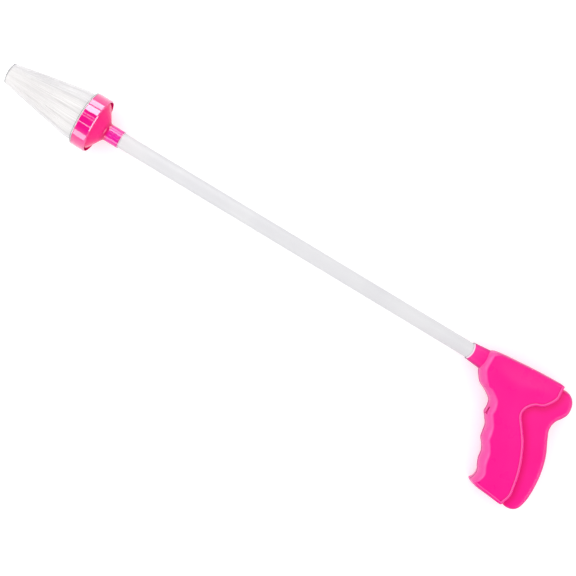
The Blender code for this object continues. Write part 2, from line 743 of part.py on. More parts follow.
def head_parts(root):
    """The funnel on the tube's front end, the ring round it and the retainer in front."""
    rim_outer = RING_BORE - FIT
    rim_inner = HINGE_PLACE - HINGE_BEAD_RADIUS - FIT
    rod_way = TUBE_BORE - NECK_STOP_LIP
    cone_x = FUNNEL_X + NECK_FILLET / 2
    cone_radius = SOCKET_OUTER + NECK_FILLET
    lean = math.atan2(FUNNEL_RADIUS - cone_radius, FUNNEL_RIM_X - cone_x)
    skin = Vector((math.sin(lean), -math.cos(lean))) * FUNNEL_WALL
    funnel = turned(
        "head_funnel",
        (
            (NECK_X, SOCKET_OUTER),
            (FUNNEL_X - NECK_FILLET, SOCKET_OUTER),
            (FUNNEL_X - NECK_FILLET / 4, SOCKET_OUTER + NECK_FILLET / 4),
            (cone_x, cone_radius),
            (FUNNEL_RIM_X, FUNNEL_RADIUS),
            (SEAT_X - SEAT_THICKNESS, FUNNEL_RADIUS),
            (SEAT_X - SEAT_THICKNESS, rim_outer),
            (SEAT_X, rim_outer),
            (SEAT_X, rim_inner),
            (FUNNEL_RIM_X + skin.x, rim_inner),
            (cone_x + skin.x, cone_radius + skin.y),
            (cone_x, rod_way),
            (NECK_SEAT_X, rod_way),
            (NECK_SEAT_X, SOCKET_RADIUS),
            (NECK_X, SOCKET_RADIUS),
        ),
        RING_SIDES,
    )
    place("head_funnel", funnel, root, pink("head_funnel"))
    ring = turned(
        "head_ring",
        (
            (RING_BACK_X, RING_BORE),
            (RING_BACK_X, RING_RADIUS),
            (RING_FRONT_X, RING_RADIUS),
            (RING_FRONT_X, RING_BORE),
        ),
        RING_SIDES,
    )
    place("head_ring", ring, root, pink("head_ring", 0.08))
    skirt_x = HINGE_X + HINGE_BEAD_RADIUS + FIT
    flange_x = RING_FRONT_X + FIT
    front_x = flange_x + RETAINER_THICKNESS
    retainer = turned(
        "bristle_retainer",
        (
            (skirt_x, rim_outer - RETAINER_LIP),
            (skirt_x, rim_outer),
            (flange_x, rim_outer),
            (flange_x, RING_RADIUS - FIT),
            (front_x, RING_RADIUS - FIT),
            (front_x, rim_outer - FIT),
        ),
        RING_SIDES,
    )
    place("bristle_retainer", retainer, root, clear("bristle_retainer"))


def hub_parts(root):
    """The hub on the rod's front end, with the washer and screw that trap the beads of the wedges."""
    core_front = WASHER_X - FIT
    hub = turned(
        "plunger_hub",
        (
            (HUB_BACK_X, ROD_CLEAR),
            (HUB_BACK_X, HUB_BOSS_RADIUS),
            (FLANGE_BACK_X, HUB_BOSS_RADIUS),
            (FLANGE_BACK_X, HUB_FLANGE_RADIUS),
            (FLANGE_X, HUB_FLANGE_RADIUS),
            (FLANGE_X, HUB_CORE_RADIUS),
            (core_front, HUB_CORE_RADIUS),
            (core_front, HUB_SCREW_CLEAR),
            (WASHER_X - HUB_SCREW_BITE - FIT, HUB_SCREW_CLEAR),
            (WASHER_X - HUB_SCREW_BITE - FIT, 0),
            (ROD_FRONT_X + FIT, 0),
            (ROD_FRONT_X + FIT, ROD_CLEAR),
        ),
        TUBE_SIDES,
    )
    place("plunger_hub", hub, root, white("plunger_hub"))
    washer_front = WASHER_X + WASHER_THICKNESS
    washer = turned(
        "hub_washer",
        (
            (WASHER_X, HUB_SCREW_CLEAR),
            (WASHER_X, WASHER_RADIUS),
            (washer_front, WASHER_RADIUS),
            (washer_front, HUB_SCREW_CLEAR),
        ),
        TUBE_SIDES,
    )
    place("hub_washer", washer, root, white("hub_washer"))
    head_x = washer_front + FIT
    screw = turned(
        "hub_screw",
        (
            (WASHER_X - HUB_SCREW_BITE, 0),
            (WASHER_X - HUB_SCREW_BITE, SCREW_SHANK_RADIUS),
            (head_x, SCREW_SHANK_RADIUS),
            (head_x, HUB_SCREW_HEAD_RADIUS),
            (head_x + HUB_SCREW_HEAD_HEIGHT, HUB_SCREW_HEAD_RADIUS),
            (head_x + HUB_SCREW_HEAD_HEIGHT, 0),
        ),
        SMALL_SIDES,
    )
    place("hub_screw", screw, root, steel("hub_screw"))


def wedge_half_width(distance):
    """Half the width that a wedge has, at this distance from the axis."""
    return distance * HALF_SECTOR_SLOPE - WEDGE_GAP / 2 / math.cos(SECTOR / 2)


def backing(inner, outer):
    """The flat of a wedge. X is forwards, Y is out from the axis, and the hinge line is Z."""
    half = BACKING_THICKNESS / 2
    corners = (
        (inner - HINGE_PLACE, -wedge_half_width(inner)),
        (inner - HINGE_PLACE, wedge_half_width(inner)),
        (outer - HINGE_PLACE, wedge_half_width(outer)),
        (outer - HINGE_PLACE, -wedge_half_width(outer)),
    )
    return stacked("backing", [[(x, y, z) for y, z in corners] for x in (-half, half)])


def bead(radius, distance, narrowest):
    """A bead along Z at this distance from the axis, no longer than the wedge is at narrowest."""
    half = wedge_half_width(narrowest)
    return rod_along_z(
        "bead", radius, -half, half, BEAD_SIDES, (0, distance - HINGE_PLACE)
    )


def strand_centre(row, place_in_row, share):
    """A point on one strand, as (x, y, z) in the wedge's frame; share runs from base to tip."""
    outwards = row / (STRAND_ROWS - 1)
    base = BASE_ROWS[0] + (BASE_ROWS[1] - BASE_ROWS[0]) * outwards
    tip = TIP_ROWS[0] + (TIP_ROWS[1] - TIP_ROWS[0]) * outwards
    radius = base + (tip - base) * share**STRAND_BOW
    turn = ((place_in_row + 0.5) / (row + 1) - 0.5) * SECTOR
    y = radius * math.cos(turn) - HINGE_PLACE
    return Vector((STRAND_REACH * share, y, radius * math.sin(turn)))


def strands():
    """All strands of one tuft as separate three-sided spikes that start inside the backing."""
    shape = bmesh.new()
    for row in range(STRAND_ROWS):
        for place_in_row in range(row + 1):
            rings = []
            for share in (0, 0.5, 1):
                centre = strand_centre(row, place_in_row, share)
                radius = STRAND_BASE_RADIUS + (STRAND_TIP_RADIUS - STRAND_BASE_RADIUS) * share
                ring = []
                for side in range(STRAND_SIDES):
                    turn = math.tau * side / STRAND_SIDES
                    offset = Vector((0, math.cos(turn), math.sin(turn))) * radius
                    ring.append(shape.verts.new(centre + offset))
                rings.append(ring)
            for lower, upper in zip(rings, rings[1:]):
                for i in range(STRAND_SIDES):
                    shape.faces.new((lower[i - 1], lower[i], upper[i], upper[i - 1]))
            shape.faces.new(rings[0])
            shape.faces.new(rings[-1])
    return mesh_from(shape, "strands")


def fused(meshes, root):
    """Join meshes that overlap into a single body."""
    first, *others = [helper(mesh.name, mesh, root) for mesh in meshes]
    for other in others:
        combine(first, other, "UNION")
    graph = bpy.context.evaluated_depsgraph_get()
    joined = bpy.data.meshes.new_from_object(first.evaluated_get(graph))
    for used in (*others, first):
        bpy.data.objects.remove(used, do_unlink=True)
    return joined


def bristle_slice(root):
    """The outer slice of one wedge with its hinge bead and its strands."""
    hinge = bead(HINGE_BEAD_RADIUS, HINGE_PLACE, HINGE_PLACE - HINGE_BEAD_RADIUS)
    return fused((backing(SLICE_PLACE, HINGE_PLACE), hinge, strands()), root)


def backing_arm(root):
    """The arm that carries one wedge on to the hub, with its bead."""
    inner = bead(INNER_BEAD_RADIUS, INNER_BEAD_PLACE, INNER_BEAD_PLACE - INNER_BEAD_RADIUS)
    return fused((backing(INNER_BEAD_PLACE, SLICE_PLACE - FIT), inner), root)


def bristle_tufts(root):
    """The ring of tufts with their arms, each with its origin on its own hinge line."""
    for kind, mesh in (("bristle_tuft", bristle_slice(root)), ("backing_arm", backing_arm(root))):
        for number in range(TUFTS):
            name = f"{kind}_{number + 1:02d}"
            turn = SECTOR * (number + 0.5)
            piece = place(name, mesh.copy(), root, clear(name))
            piece.rotation_euler = (turn, 0, 0)
            piece.location = (HINGE_X, HINGE_PLACE * math.cos(turn), HINGE_PLACE * math.sin(turn))
        bpy.data.meshes.remove(mesh)


def resting_tilt():
    """The tool lies on the ring's back edge and on the rear lip of its lower cheek."""
    rear_lip = min(x for x, _, _ in LIP_SHARES) * GRIP_DEPTH
    return math.atan2(RING_RADIUS - GRIP_HALF_THICKNESS, RING_BACK_X - rear_lip)


def stand_on_origin(root):
    """Move the whole tool so that the origin is under its middle, at the height it rests on."""
    bpy.context.view_layer.update()
    graph = bpy.context.evaluated_depsgraph_get()
    corners = []
    for found in bpy.data.objects:
        if found.type == "EMPTY" or found.hide_render:
            continue
        solid = found.evaluated_get(graph)
        mesh = solid.to_mesh()
        corners += [solid.matrix_world @ vertex.co for vertex in mesh.vertices]
        solid.to_mesh_clear()
    low = Vector(min(corner[i] for corner in corners) for i in range(3))
    high = Vector(max(corner[i] for corner in corners) for i in range(3))
    root.location -= Vector(((low.x + high.x) / 2, (low.y + high.y) / 2, low.z))


def main():
    """Build the spider catcher."""
    clear_scene()
    root = bpy.data.objects.new("spider_catcher", None)
    bpy.context.scene.collection.objects.link(root)
    root.rotation_euler = (0, -resting_tilt(), 0)
    upper = grip_shell("grip_shell_upper", 1, root)
    cut_slot(upper, root)
    grip_shell("grip_shell_lower", -1, root)
    for number, (x_share, y_share) in enumerate(BOSS_PLACE_SHARES, start=1):
        shell_screw(number, (x_share * GRIP_DEPTH, y_share * GRIP_DROP), root)
    squeeze_lever(root)
    push_rod_parts(root)
    tube_parts(root)
    head_parts(root)
    hub_parts(root)
    bristle_tufts(root)
    stand_on_origin(root)


main()
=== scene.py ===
"""Looks of the spider catcher: every piece at its real finish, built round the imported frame.

All pieces are drawn in the tool's own frame: the origin is on the tube's axis at the mouth of the
grip's collar, +X runs to the bristles, +Y to the bottom of the grip and +Z out of the upper cheek.
Lengths are in metres.
"""

import json
import logging
import math
import random
from collections.abc import Callable, Iterable, Mapping, Sequence
from dataclasses import dataclass
from enum import Enum
from functools import cache, cached_property

import bmesh
import bpy
from mathutils import Matrix, Vector
from mathutils.geometry import delaunay_2d_cdt


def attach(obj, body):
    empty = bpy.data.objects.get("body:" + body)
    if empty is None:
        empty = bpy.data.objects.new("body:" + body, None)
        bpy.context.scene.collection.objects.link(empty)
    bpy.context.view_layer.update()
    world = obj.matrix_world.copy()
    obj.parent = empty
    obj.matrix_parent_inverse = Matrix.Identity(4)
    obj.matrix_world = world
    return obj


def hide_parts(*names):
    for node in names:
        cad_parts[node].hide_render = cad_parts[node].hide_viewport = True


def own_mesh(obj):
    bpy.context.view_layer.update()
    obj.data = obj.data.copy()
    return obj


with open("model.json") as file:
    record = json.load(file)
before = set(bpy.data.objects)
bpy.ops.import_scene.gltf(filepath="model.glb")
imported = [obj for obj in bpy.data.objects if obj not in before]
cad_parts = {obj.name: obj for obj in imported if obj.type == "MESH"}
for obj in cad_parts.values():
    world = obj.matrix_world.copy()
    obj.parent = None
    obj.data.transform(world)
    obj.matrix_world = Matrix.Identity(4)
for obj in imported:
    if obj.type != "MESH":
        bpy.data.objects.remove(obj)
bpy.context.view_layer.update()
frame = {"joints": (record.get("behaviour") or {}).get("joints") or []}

log = logging.getLogger("spider_catcher")

Pair = tuple[float, float]
Point = tuple[float, float, float]
Corner = tuple[float, float, float]
Colour = tuple[float, float, float]
ShareRow = tuple[float, float, float]
Shape = bmesh.types.BMesh
Mesh = bpy.types.Mesh
Socket = bpy.types.NodeSocket
Value = Socket | float


class Body(str, Enum):
    """The bodies of the frame that pieces ride on, other than the twelve tufts."""

    BODY = "body"
    LEVER = "lever"
    ROD = "rod"


class Slot(str, Enum):
    """The record's material slots."""

    GRIP = "grip_pink"
    RING = "ring_pink"
    TUBE = "tube_white"
    INNER = "inner_white"
    BRISTLE = "bristle_clear"
    RETAINER = "retainer_clear"
    FASTENER = "fastener_steel"
    SPRING = "spring_steel"


class Cheek(Enum):
    """The two halves of the grip, by the sign of their height."""

    UPPER = 1
    LOWER = -1


class Joining(str, Enum):
    """What a Boolean does with its second shape."""

    ADD = "UNION"
    CUT = "DIFFERENCE"


# Side view of the grip's wall: from its top rear corner forwards, down the finger side and back
# along the bottom. Each row is a share of the grip's depth, of its drop and of its edge rounding.
WALL_SHARES: tuple[ShareRow, ...] = (
    (-0.962, -0.171, 0.26), (-0.930, -0.181, 0.35), (-0.840, -0.182, 0.42), (-0.650, -0.173, 0.45),
    (-0.450, -0.157, 0.45), (-0.270, -0.139, 0.50), (-0.185, -0.116, 0.75), (-0.147, -0.060, 1.00),
    (-0.147, 0.060, 1.00), (-0.168, 0.115, 0.90), (-0.197, 0.160, 0.90), (-0.245, 0.216, 0.90),
    (-0.310, 0.250, 0.90), (-0.365, 0.282, 0.90), (-0.410, 0.320, 0.95), (-0.427, 0.380, 1.00),
    (-0.430, 0.440, 1.00), (-0.467, 0.490, 0.90), (-0.507, 0.550, 0.90), (-0.521, 0.620, 1.00),
    (-0.536, 0.680, 0.95), (-0.575, 0.730, 0.90), (-0.608, 0.790, 0.95), (-0.620, 0.865, 1.00),
    (-0.645, 0.925, 0.90), (-0.675, 0.985, 0.85), (-0.672, 1.045, 0.60), (-0.658, 1.085, 0.35),
    (-0.685, 1.110, 0.35), (-0.740, 1.124, 0.35), (-0.860, 1.136, 0.35), (-0.985, 1.146, 0.28),
    (-1.020, 1.142, 0.26),
)
# The S-shaped rear lip, from the bottom up to the top rear corner
LIP_SHARES: tuple[ShareRow, ...] = (
    (-1.020, 1.142, 0.26), (-1.040, 1.095, 0.26), (-1.055, 1.050, 0.26), (-1.059, 1.000, 0.26),
    (-1.046, 0.920, 0.26), (-1.023, 0.808, 0.26), (-0.981, 0.679, 0.26), (-0.937, 0.579, 0.26),
    (-0.885, 0.482, 0.26), (-0.789, 0.352, 0.26), (-0.749, 0.298, 0.26), (-0.739, 0.249, 0.26),
    (-0.760, 0.192, 0.26), (-0.809, 0.143, 0.26), (-0.882, 0.110, 0.26), (-0.940, 0.038, 0.26),
    (-0.972, -0.035, 0.26), (-0.969, -0.095, 0.26), (-0.962, -0.171, 0.26),
)
# Side view of the lever: its palm side from the top down to the bottom, then its hidden front edge
PALM_SHARES: tuple[ShareRow, ...] = (
    (-0.860, -0.146, 0.50), (-0.950, -0.148, 0.50), (-1.043, -0.147, 0.60), (-1.102, -0.119, 0.80),
    (-1.143, -0.065, 0.80), (-1.158, 0.000, 0.80), (-1.154, 0.060, 0.80), (-1.126, 0.116, 0.80),
    (-1.092, 0.165, 0.80), (-1.074, 0.220, 0.80), (-1.078, 0.280, 0.80), (-1.103, 0.340, 0.80),
    (-1.142, 0.420, 0.80), (-1.180, 0.500, 0.80), (-1.212, 0.600, 0.80), (-1.234, 0.710, 0.80),
    (-1.245, 0.830, 0.80), (-1.245, 0.940, 0.80), (-1.233, 1.020, 0.70), (-1.208, 1.090, 0.60),
    (-1.160, 1.135, 0.50), (-1.100, 1.147, 0.40), (-1.050, 1.135, 0.30), (-1.010, 1.112, 0.15),
    (-0.950, 1.108, 0.05),
)
LEVER_FRONT_SHARES: tuple[ShareRow, ...] = (
    (-0.950, 1.108, 0.05), (-0.915, 1.070, 0.05), (-0.905, 1.000, 0.05), (-0.910, 0.900, 0.05),
    (-0.900, 0.800, 0.05), (-0.880, 0.680, 0.05), (-0.840, 0.580, 0.05), (-0.790, 0.490, 0.05),
    (-0.700, 0.370, 0.05), (-0.660, 0.310, 0.05), (-0.645, 0.250, 0.05), (-0.670, 0.180, 0.05),
    (-0.740, 0.115, 0.05), (-0.820, 0.050, 0.05), (-0.845, -0.060, 0.05), (-0.860, -0.146, 0.50),
)


@dataclass(frozen=True)
class ToolSizes:
    """Sizes that more than one sub-assembly shares; an x runs along the tool."""

    fit: float = 0.0003  # the play between fitted parts
    overrun: float = 0.004  # how far a cutting shape reaches past what it cuts
    tube_radius: float = 0.0080
    tube_wall: float = 0.0011
    tube_showing: float = 0.402
    socket_wall: float = 0.0006
    grip_depth: float = 0.100
    grip_drop: float = 0.100
    grip_half_thickness: float = 0.016
    grip_wall: float = 0.002
    edge_rounding: float = 0.0075
    lever_gap: float = 0.0004
    collar_inside: float = 0.0093
    collar_stop: float = 0.0037
    rod_radius: float = 0.0025
    pin_radius: float = 0.002
    pin_seat: float = 0.001
    screw_shank_radius: float = 0.0014
    screw_head_radius: float = 0.0029
    screw_recess: float = 0.003
    screw_bite: float = 0.008
    neck_length: float = 0.0165
    neck_stop: float = 0.0015
    funnel_depth: float = 0.0105
    ring_radius: float = 0.0285
    ring_wall: float = 0.0013
    ring_width: float = 0.0147
    ring_behind_rim: float = 0.001
    retainer_skirt: float = 0.0006
    hinge_bead_radius: float = 0.0009
    inner_bead_radius: float = 0.0013
    bead_play: float = 0.0005
    hub_core_wall: float = 0.0018
    tufts: int = 12
    pivot_shares: Pair = (-0.97, 1.0)
    boss_place_shares: tuple[Pair, ...] = (
        (-0.34, 0.17), (-0.62, -0.112), (-0.66, 0.62), (-0.79, 1.02),
    )
    pad_front_share: float = -0.88
    # How far the tips of the inner and outer strands lie from the axis, as shares of hinge_place
    tip_row_shares: Pair = (0.06, 0.41)
    tip_dome: float = 0.0012  # how much nearer the outermost strands end
    # Sizes that follow from the ones above
    socket_radius: float = tube_radius + fit  # the bore that takes the tube
    socket_outer: float = socket_radius + socket_wall  # the outside of the collar's mouth and neck
    tube_bore: float = tube_radius - tube_wall
    wall_front: float = max(x for x, _, _ in WALL_SHARES) * grip_depth  # the front of the grip
    collar_length: float = collar_inside - wall_front  # from the collar's mouth to its inner end
    rod_clear: float = rod_radius + fit  # a hole that the rod slides or sits in
    funnel_x: float = tube_showing + neck_length  # where the neck ends and the funnel begins
    funnel_rim_x: float = funnel_x + funnel_depth  # the front of the funnel's cone
    ring_back_x: float = funnel_rim_x - ring_behind_rim
    ring_front_x: float = ring_back_x + ring_width
    ring_bore: float = ring_radius - ring_wall
    hinge_x: float = ring_front_x - retainer_skirt - hinge_bead_radius  # the tufts' hinge lines
    sector: float = math.tau / tufts  # the angle that one tuft takes of the circle
    # How far the hinge lines lie from the axis
    hinge_place: float = (ring_bore - fit) * math.cos(sector / 2) - hinge_bead_radius
    hub_screw_clear: float = screw_shank_radius + fit
    hub_core_radius: float = hub_screw_clear + hub_core_wall  # the hub's core, inside the beads
    # How far the inner beads lie from the axis
    inner_bead_place: float = hub_core_radius + bead_play + inner_bead_radius
    washer_x: float = hinge_x + inner_bead_radius + bead_play  # the rear face of the hub's washer

    @property
    def pivot(self) -> Vector:
        """The lever's pin in the side view."""
        return self.side_place(*self.pivot_shares)

    def side_place(self, x_share: float, y_share: float) -> Vector:
        """A point of the side view from its shares of the grip's depth and drop."""
        return Vector((x_share * self.grip_depth, y_share * self.grip_drop))


SIZES = ToolSizes()


def tool_matrix(joints: Sequence[Mapping]) -> Matrix:
    """Find the tool's own frame from the joints that lie on it.

    Args:
        joints: the joints of the frame.

    Returns:
        The matrix that takes the tool's coordinates to the row frame.
    """
    named = {joint["name"]: joint for joint in joints}
    forwards = Vector(named["rod_slide"]["axis"]).normalized()
    upwards = Vector(named["lever_squeeze"]["axis"]).normalized()
    hinges = [Vector(joint["pos_m"]) for name, joint in named.items() if name.startswith("tuft_")]
    middle = sum(hinges, Vector()) / len(hinges)
    turned = Matrix((forwards, upwards.cross(forwards), upwards)).transposed()
    return Matrix.Translation(middle - forwards * SIZES.hinge_x) @ turned.to_4x4()


TOOL = tool_matrix(frame["joints"])


def smooth_run(points: Sequence[Vector], steps: int) -> list[Vector]:
    """Draw a Catmull-Rom curve through the points.

    Args:
        points: the points, in order.
        steps: how many pieces each stretch is cut into.

    Returns:
        The curve's points from the first up to, but not with, the last.
    """
    padded = [2 * points[0] - points[1], *points, 2 * points[-1] - points[-2]]
    run = []
    for before, start, end, after in zip(padded, padded[1:], padded[2:], padded[3:]):
        for step in range(steps):
            t = step / steps
            run.append(
                start
                + (end - before) * (t / 2)
                + (2 * before - 5 * start + 4 * end - after) * (t * t / 2)
                + (3 * start - before - 3 * end + after) * (t * t * t / 2)
            )
    return run


def inset_rows(rows: Sequence[ShareRow], depth: Callable[[float], float]) -> list[Vector]:
    """Move the points of a closed side view inwards.

    Args:
        rows: the side view's share rows.
        depth: how far a point moves, by its rounding share.

    Returns:
        The moved points as (x, y, rounding share).
    """
    points = [SIZES.side_place(x, y) for x, y, _ in rows]
    area = sum(a.x * b.y - a.y * b.x for a, b in zip(points, points[1:] + points[:1]))
    turn = math.copysign(1, area)
    moved = []
    for i, point in enumerate(points):
        along = (points[(i + 1) % len(points)] - points[i - 1]).normalized()
        inwards = Vector((-along.y, along.x)) * turn
        moved.append(Vector((*(point + inwards * depth(rows[i][2])), rows[i][2])))
    return moved


def side_view(
    first: Sequence[ShareRow],
    second: Sequence[ShareRow],
    depth: Callable[[float], float],
    steps: int,
) -> list[Vector]:
    """Draw a closed side view as two smooth runs that meet in corners.

    Args:
        first: the share rows of the first run.
        second: the share rows of the second run.
        depth: how far in a point lies, by its rounding share.
        steps: how many pieces each stretch is cut into.

    Returns:
        Its points as (x, y, rounding share).
    """
    moved = inset_rows([*first[:-1], *second[:-1]], depth)
    corner = len(first) - 1
    return smooth_run(moved[: corner + 1], steps) + smooth_run(moved[corner:] + moved[:1], steps)


HIGHLIGHT_ATTRIBUTE = "lip_highlight"
# The attribute that marks how strong the painted highlight along the rear lip is at a point.
"""The attribute that marks how worn a point is."""
SHADED = "shaded"
# The attribute that marks how strong the painted shade beside the rear lip is.
"""The attribute that marks how deep the colour is beside the rear lip."""


def finished(shape: Shape) -> Shape:
    """The same shape with its faces pointing out."""
    bmesh.ops.recalc_face_normals(shape, faces=shape.faces)
    return shape


def add_skin(shape: Shape, rings: Sequence[Sequence[Point]], capped: bool = True) -> Shape:
    """Add a skin over rings of equally many points to a shape.

    Args:
        shape: the shape.
        rings: the rings, in order.
        capped: whether flat faces close the ends.

    Returns:
        The shape.
    """
    levels = [[shape.verts.new(point) for point in ring] for ring in rings]
    for lower, upper in zip(levels, levels[1:]):
        for i in range(len(lower)):
            shape.faces.new((lower[i - 1], lower[i], upper[i], upper[i - 1]))
    if capped:
        shape.faces.new(levels[0])
        shape.faces.new(levels[-1])
    return shape


def stacked(rings: Sequence[Sequence[Point]], capped: bool = True) -> Shape:
    """A new shape with a skin over rings of equally many points."""
    return finished(add_skin(bmesh.new(), rings, capped))


def hollow_shape(
    first: Sequence[ShareRow],
    second: Sequence[ShareRow],
    mouth_x: float,
    wall: float,
    height: float,
    angles: Sequence[float],
) -> Shape:
    """Draw the space inside a moulding, within its first run and open to its mouth.

    Args:
        first: the share rows of the moulding's first run.
        second: the share rows of its second run.
        mouth_x: where the mouth is.
        wall: the wall that is left.
        height: how high the space reaches at 90 degrees; below zero it lies under the middle.
        angles: the angle of each ring.

    Returns:
        The new shape.
    """
    rows = [*first[:-1], *second[:-1]]
    rings = []
    for degrees in angles:
        angle = math.radians(degrees)
        rounding = SIZES.edge_rounding * (1 - math.cos(angle))
        drawn = inset_rows(rows, lambda share: wall + share * rounding)[1 : len(first) - 1]
        drawn += [Vector((mouth_x, drawn[-1].y, 0)), Vector((mouth_x, drawn[0].y, 0))]
        rings.append([(point.x, point.y, height * math.sin(angle)) for point in drawn])
    return stacked(rings)


def softened(corners: Iterable[Corner], steps: int = 4) -> list[Pair]:
    """Round the corners of a closed outline.

    Args:
        corners: (x, radius, rounding) of each corner.
        steps: how many pieces each rounding is cut into.

    Returns:
        The outline's (x, radius) points.
    """
    listed = list(corners)
    outline = []
    for i, (x, radius, rounding) in enumerate(listed):
        corner = Vector((x, radius))
        to_last = Vector(listed[i - 1][:2]) - corner
        to_next = Vector(listed[(i + 1) % len(listed)][:2]) - corner
        if rounding <= 0:
            outline.append(tuple(corner))
            continue
        half_turn = to_last.angle(to_next) / 2
        reach = min(rounding / math.tan(half_turn), to_last.length * 0.48, to_next.length * 0.48)
        start = corner + to_last.normalized() * reach
        end = corner + to_next.normalized() * reach
        for step in range(steps + 1):
            t = step / steps
            bent = start * (1 - t) ** 2 + corner * (2 * t * (1 - t)) + end * t * t
            outline.append(tuple(bent))
    return outline


def lathed(
    outline: Sequence[Pair],
    sides: int,
    bend: Callable[[float, float, float], Pair] | None = None,
) -> Shape:
    """Turn a closed outline round the X axis.

    Args:
        outline: (x, radius) points, where a radius of 0 is a point on the axis.
        sides: how many facets the turn has.
        bend: changes a point's (x, radius) by its turn, for what isn't the same all round.

    Returns:
        The new shape.
    """
    shape = bmesh.new()
    columns = []
    on_axis = [radius < SIZES.fit / 10 for _, radius in outline]
    poles = [shape.verts.new((x, 0, 0)) if pole else None for (x, _), pole in zip(outline, on_axis)]
    for side in range(sides):
        turn = math.tau * side / sides
        column = []
        for (x, radius), pole in zip(outline, poles):
            if pole:
                column.append(pole)
                continue
            along, out = bend(x, radius, turn) if bend else (x, radius)
            column.append(shape.verts.new((along, out * math.cos(turn), out * math.sin(turn))))
        columns.append(column)
    for here, there in zip(columns, columns[1:] + columns[:1]):
        for i in range(len(outline)):
            corners = dict.fromkeys((here[i - 1], here[i], there[i], there[i - 1]))
            if len(corners) > 2 and not (on_axis[i] and on_axis[i - 1]):
                shape.faces.new(list(corners))
    return finished(shape)


def rod_along_z(radius: float, low: float, high: float, at: Vector, sides: int = 32) -> Shape:
    """Draw a round bar along Z.

    Args:
        radius: its radius.
        low: its lower end.
        high: its upper end.
        at: where it stands in the side view.
        sides: how many sides it has.

    Returns:
        The new shape.
    """
    turns = [math.tau * i / sides for i in range(sides)]
    ring = [(at[0] + radius * math.cos(a), at[1] + radius * math.sin(a)) for a in turns]
    return stacked([[(*point, height) for point in ring] for height in (low, high)])


def block(low: Sequence[float], high: Sequence[float]) -> Shape:
    """A box between two corners."""
    corners = ((low[0], low[1]), (high[0], low[1]), (high[0], high[1]), (low[0], high[1]))
    return stacked([[(x, y, z) for x, y in corners] for z in (low[2], high[2])])


def gathered(shapes: Iterable[Shape]) -> Mesh:
    """Put shapes that don't touch into one mesh, and free them.

    Args:
        shapes: the shapes.

    Returns:
        The new mesh.
    """
    joined = bmesh.new()
    for shape in shapes:
        part = bpy.data.meshes.new("part")
        shape.to_mesh(part)
        shape.free()
        joined.from_mesh(part)
        bpy.data.meshes.remove(part)
    mesh = bpy.data.meshes.new("gathered")
    joined.to_mesh(mesh)
    joined.free()
    return mesh


def placed(name: str, data: bpy.types.ID) -> bpy.types.Object:
    """Put a new object into the scene.

    Args:
        name: its name.
        data: its mesh, lamp or lens.

    Returns:
        The object.
    """
    made = bpy.data.objects.new(name, data)
    bpy.context.scene.collection.objects.link(made)
    return made


def carved(base: Shape, steps: Iterable[tuple[Joining, Sequence[Shape]]]) -> Mesh:
    """Add shapes to a shape and cut others from it.

    Args:
        base: the shape to begin with.
        steps: what is done, in order, and with which shapes.

    Returns:
        The mesh that is left.
    """
    target = placed("target", gathered([base]))
    helpers = []
    for joining, shapes in steps:
        helpers.append(placed("helper", gathered(shapes)))
        modifier = target.modifiers.new(joining.name, "BOOLEAN")
        modifier.operation = joining.value
        modifier.solver = "EXACT"
        modifier.object = helpers[-1]
    graph = bpy.context.evaluated_depsgraph_get()
    result = bpy.data.meshes.new_from_object(target.evaluated_get(graph))
    for used in (*helpers, target):
        bpy.data.objects.remove(used, do_unlink=True)
    return result


def distance_to(outline: Sequence[Vector], point: Vector) -> float:
    """How far a point is from the nearest point of an outline."""
    return min((point - other).length for other in outline)


def eased(share: float) -> float:
    """A share from 0 to 1 with level ends."""
    held = min(max(share, 0.0), 1.0)
    return held * held * (3 - 2 * held)


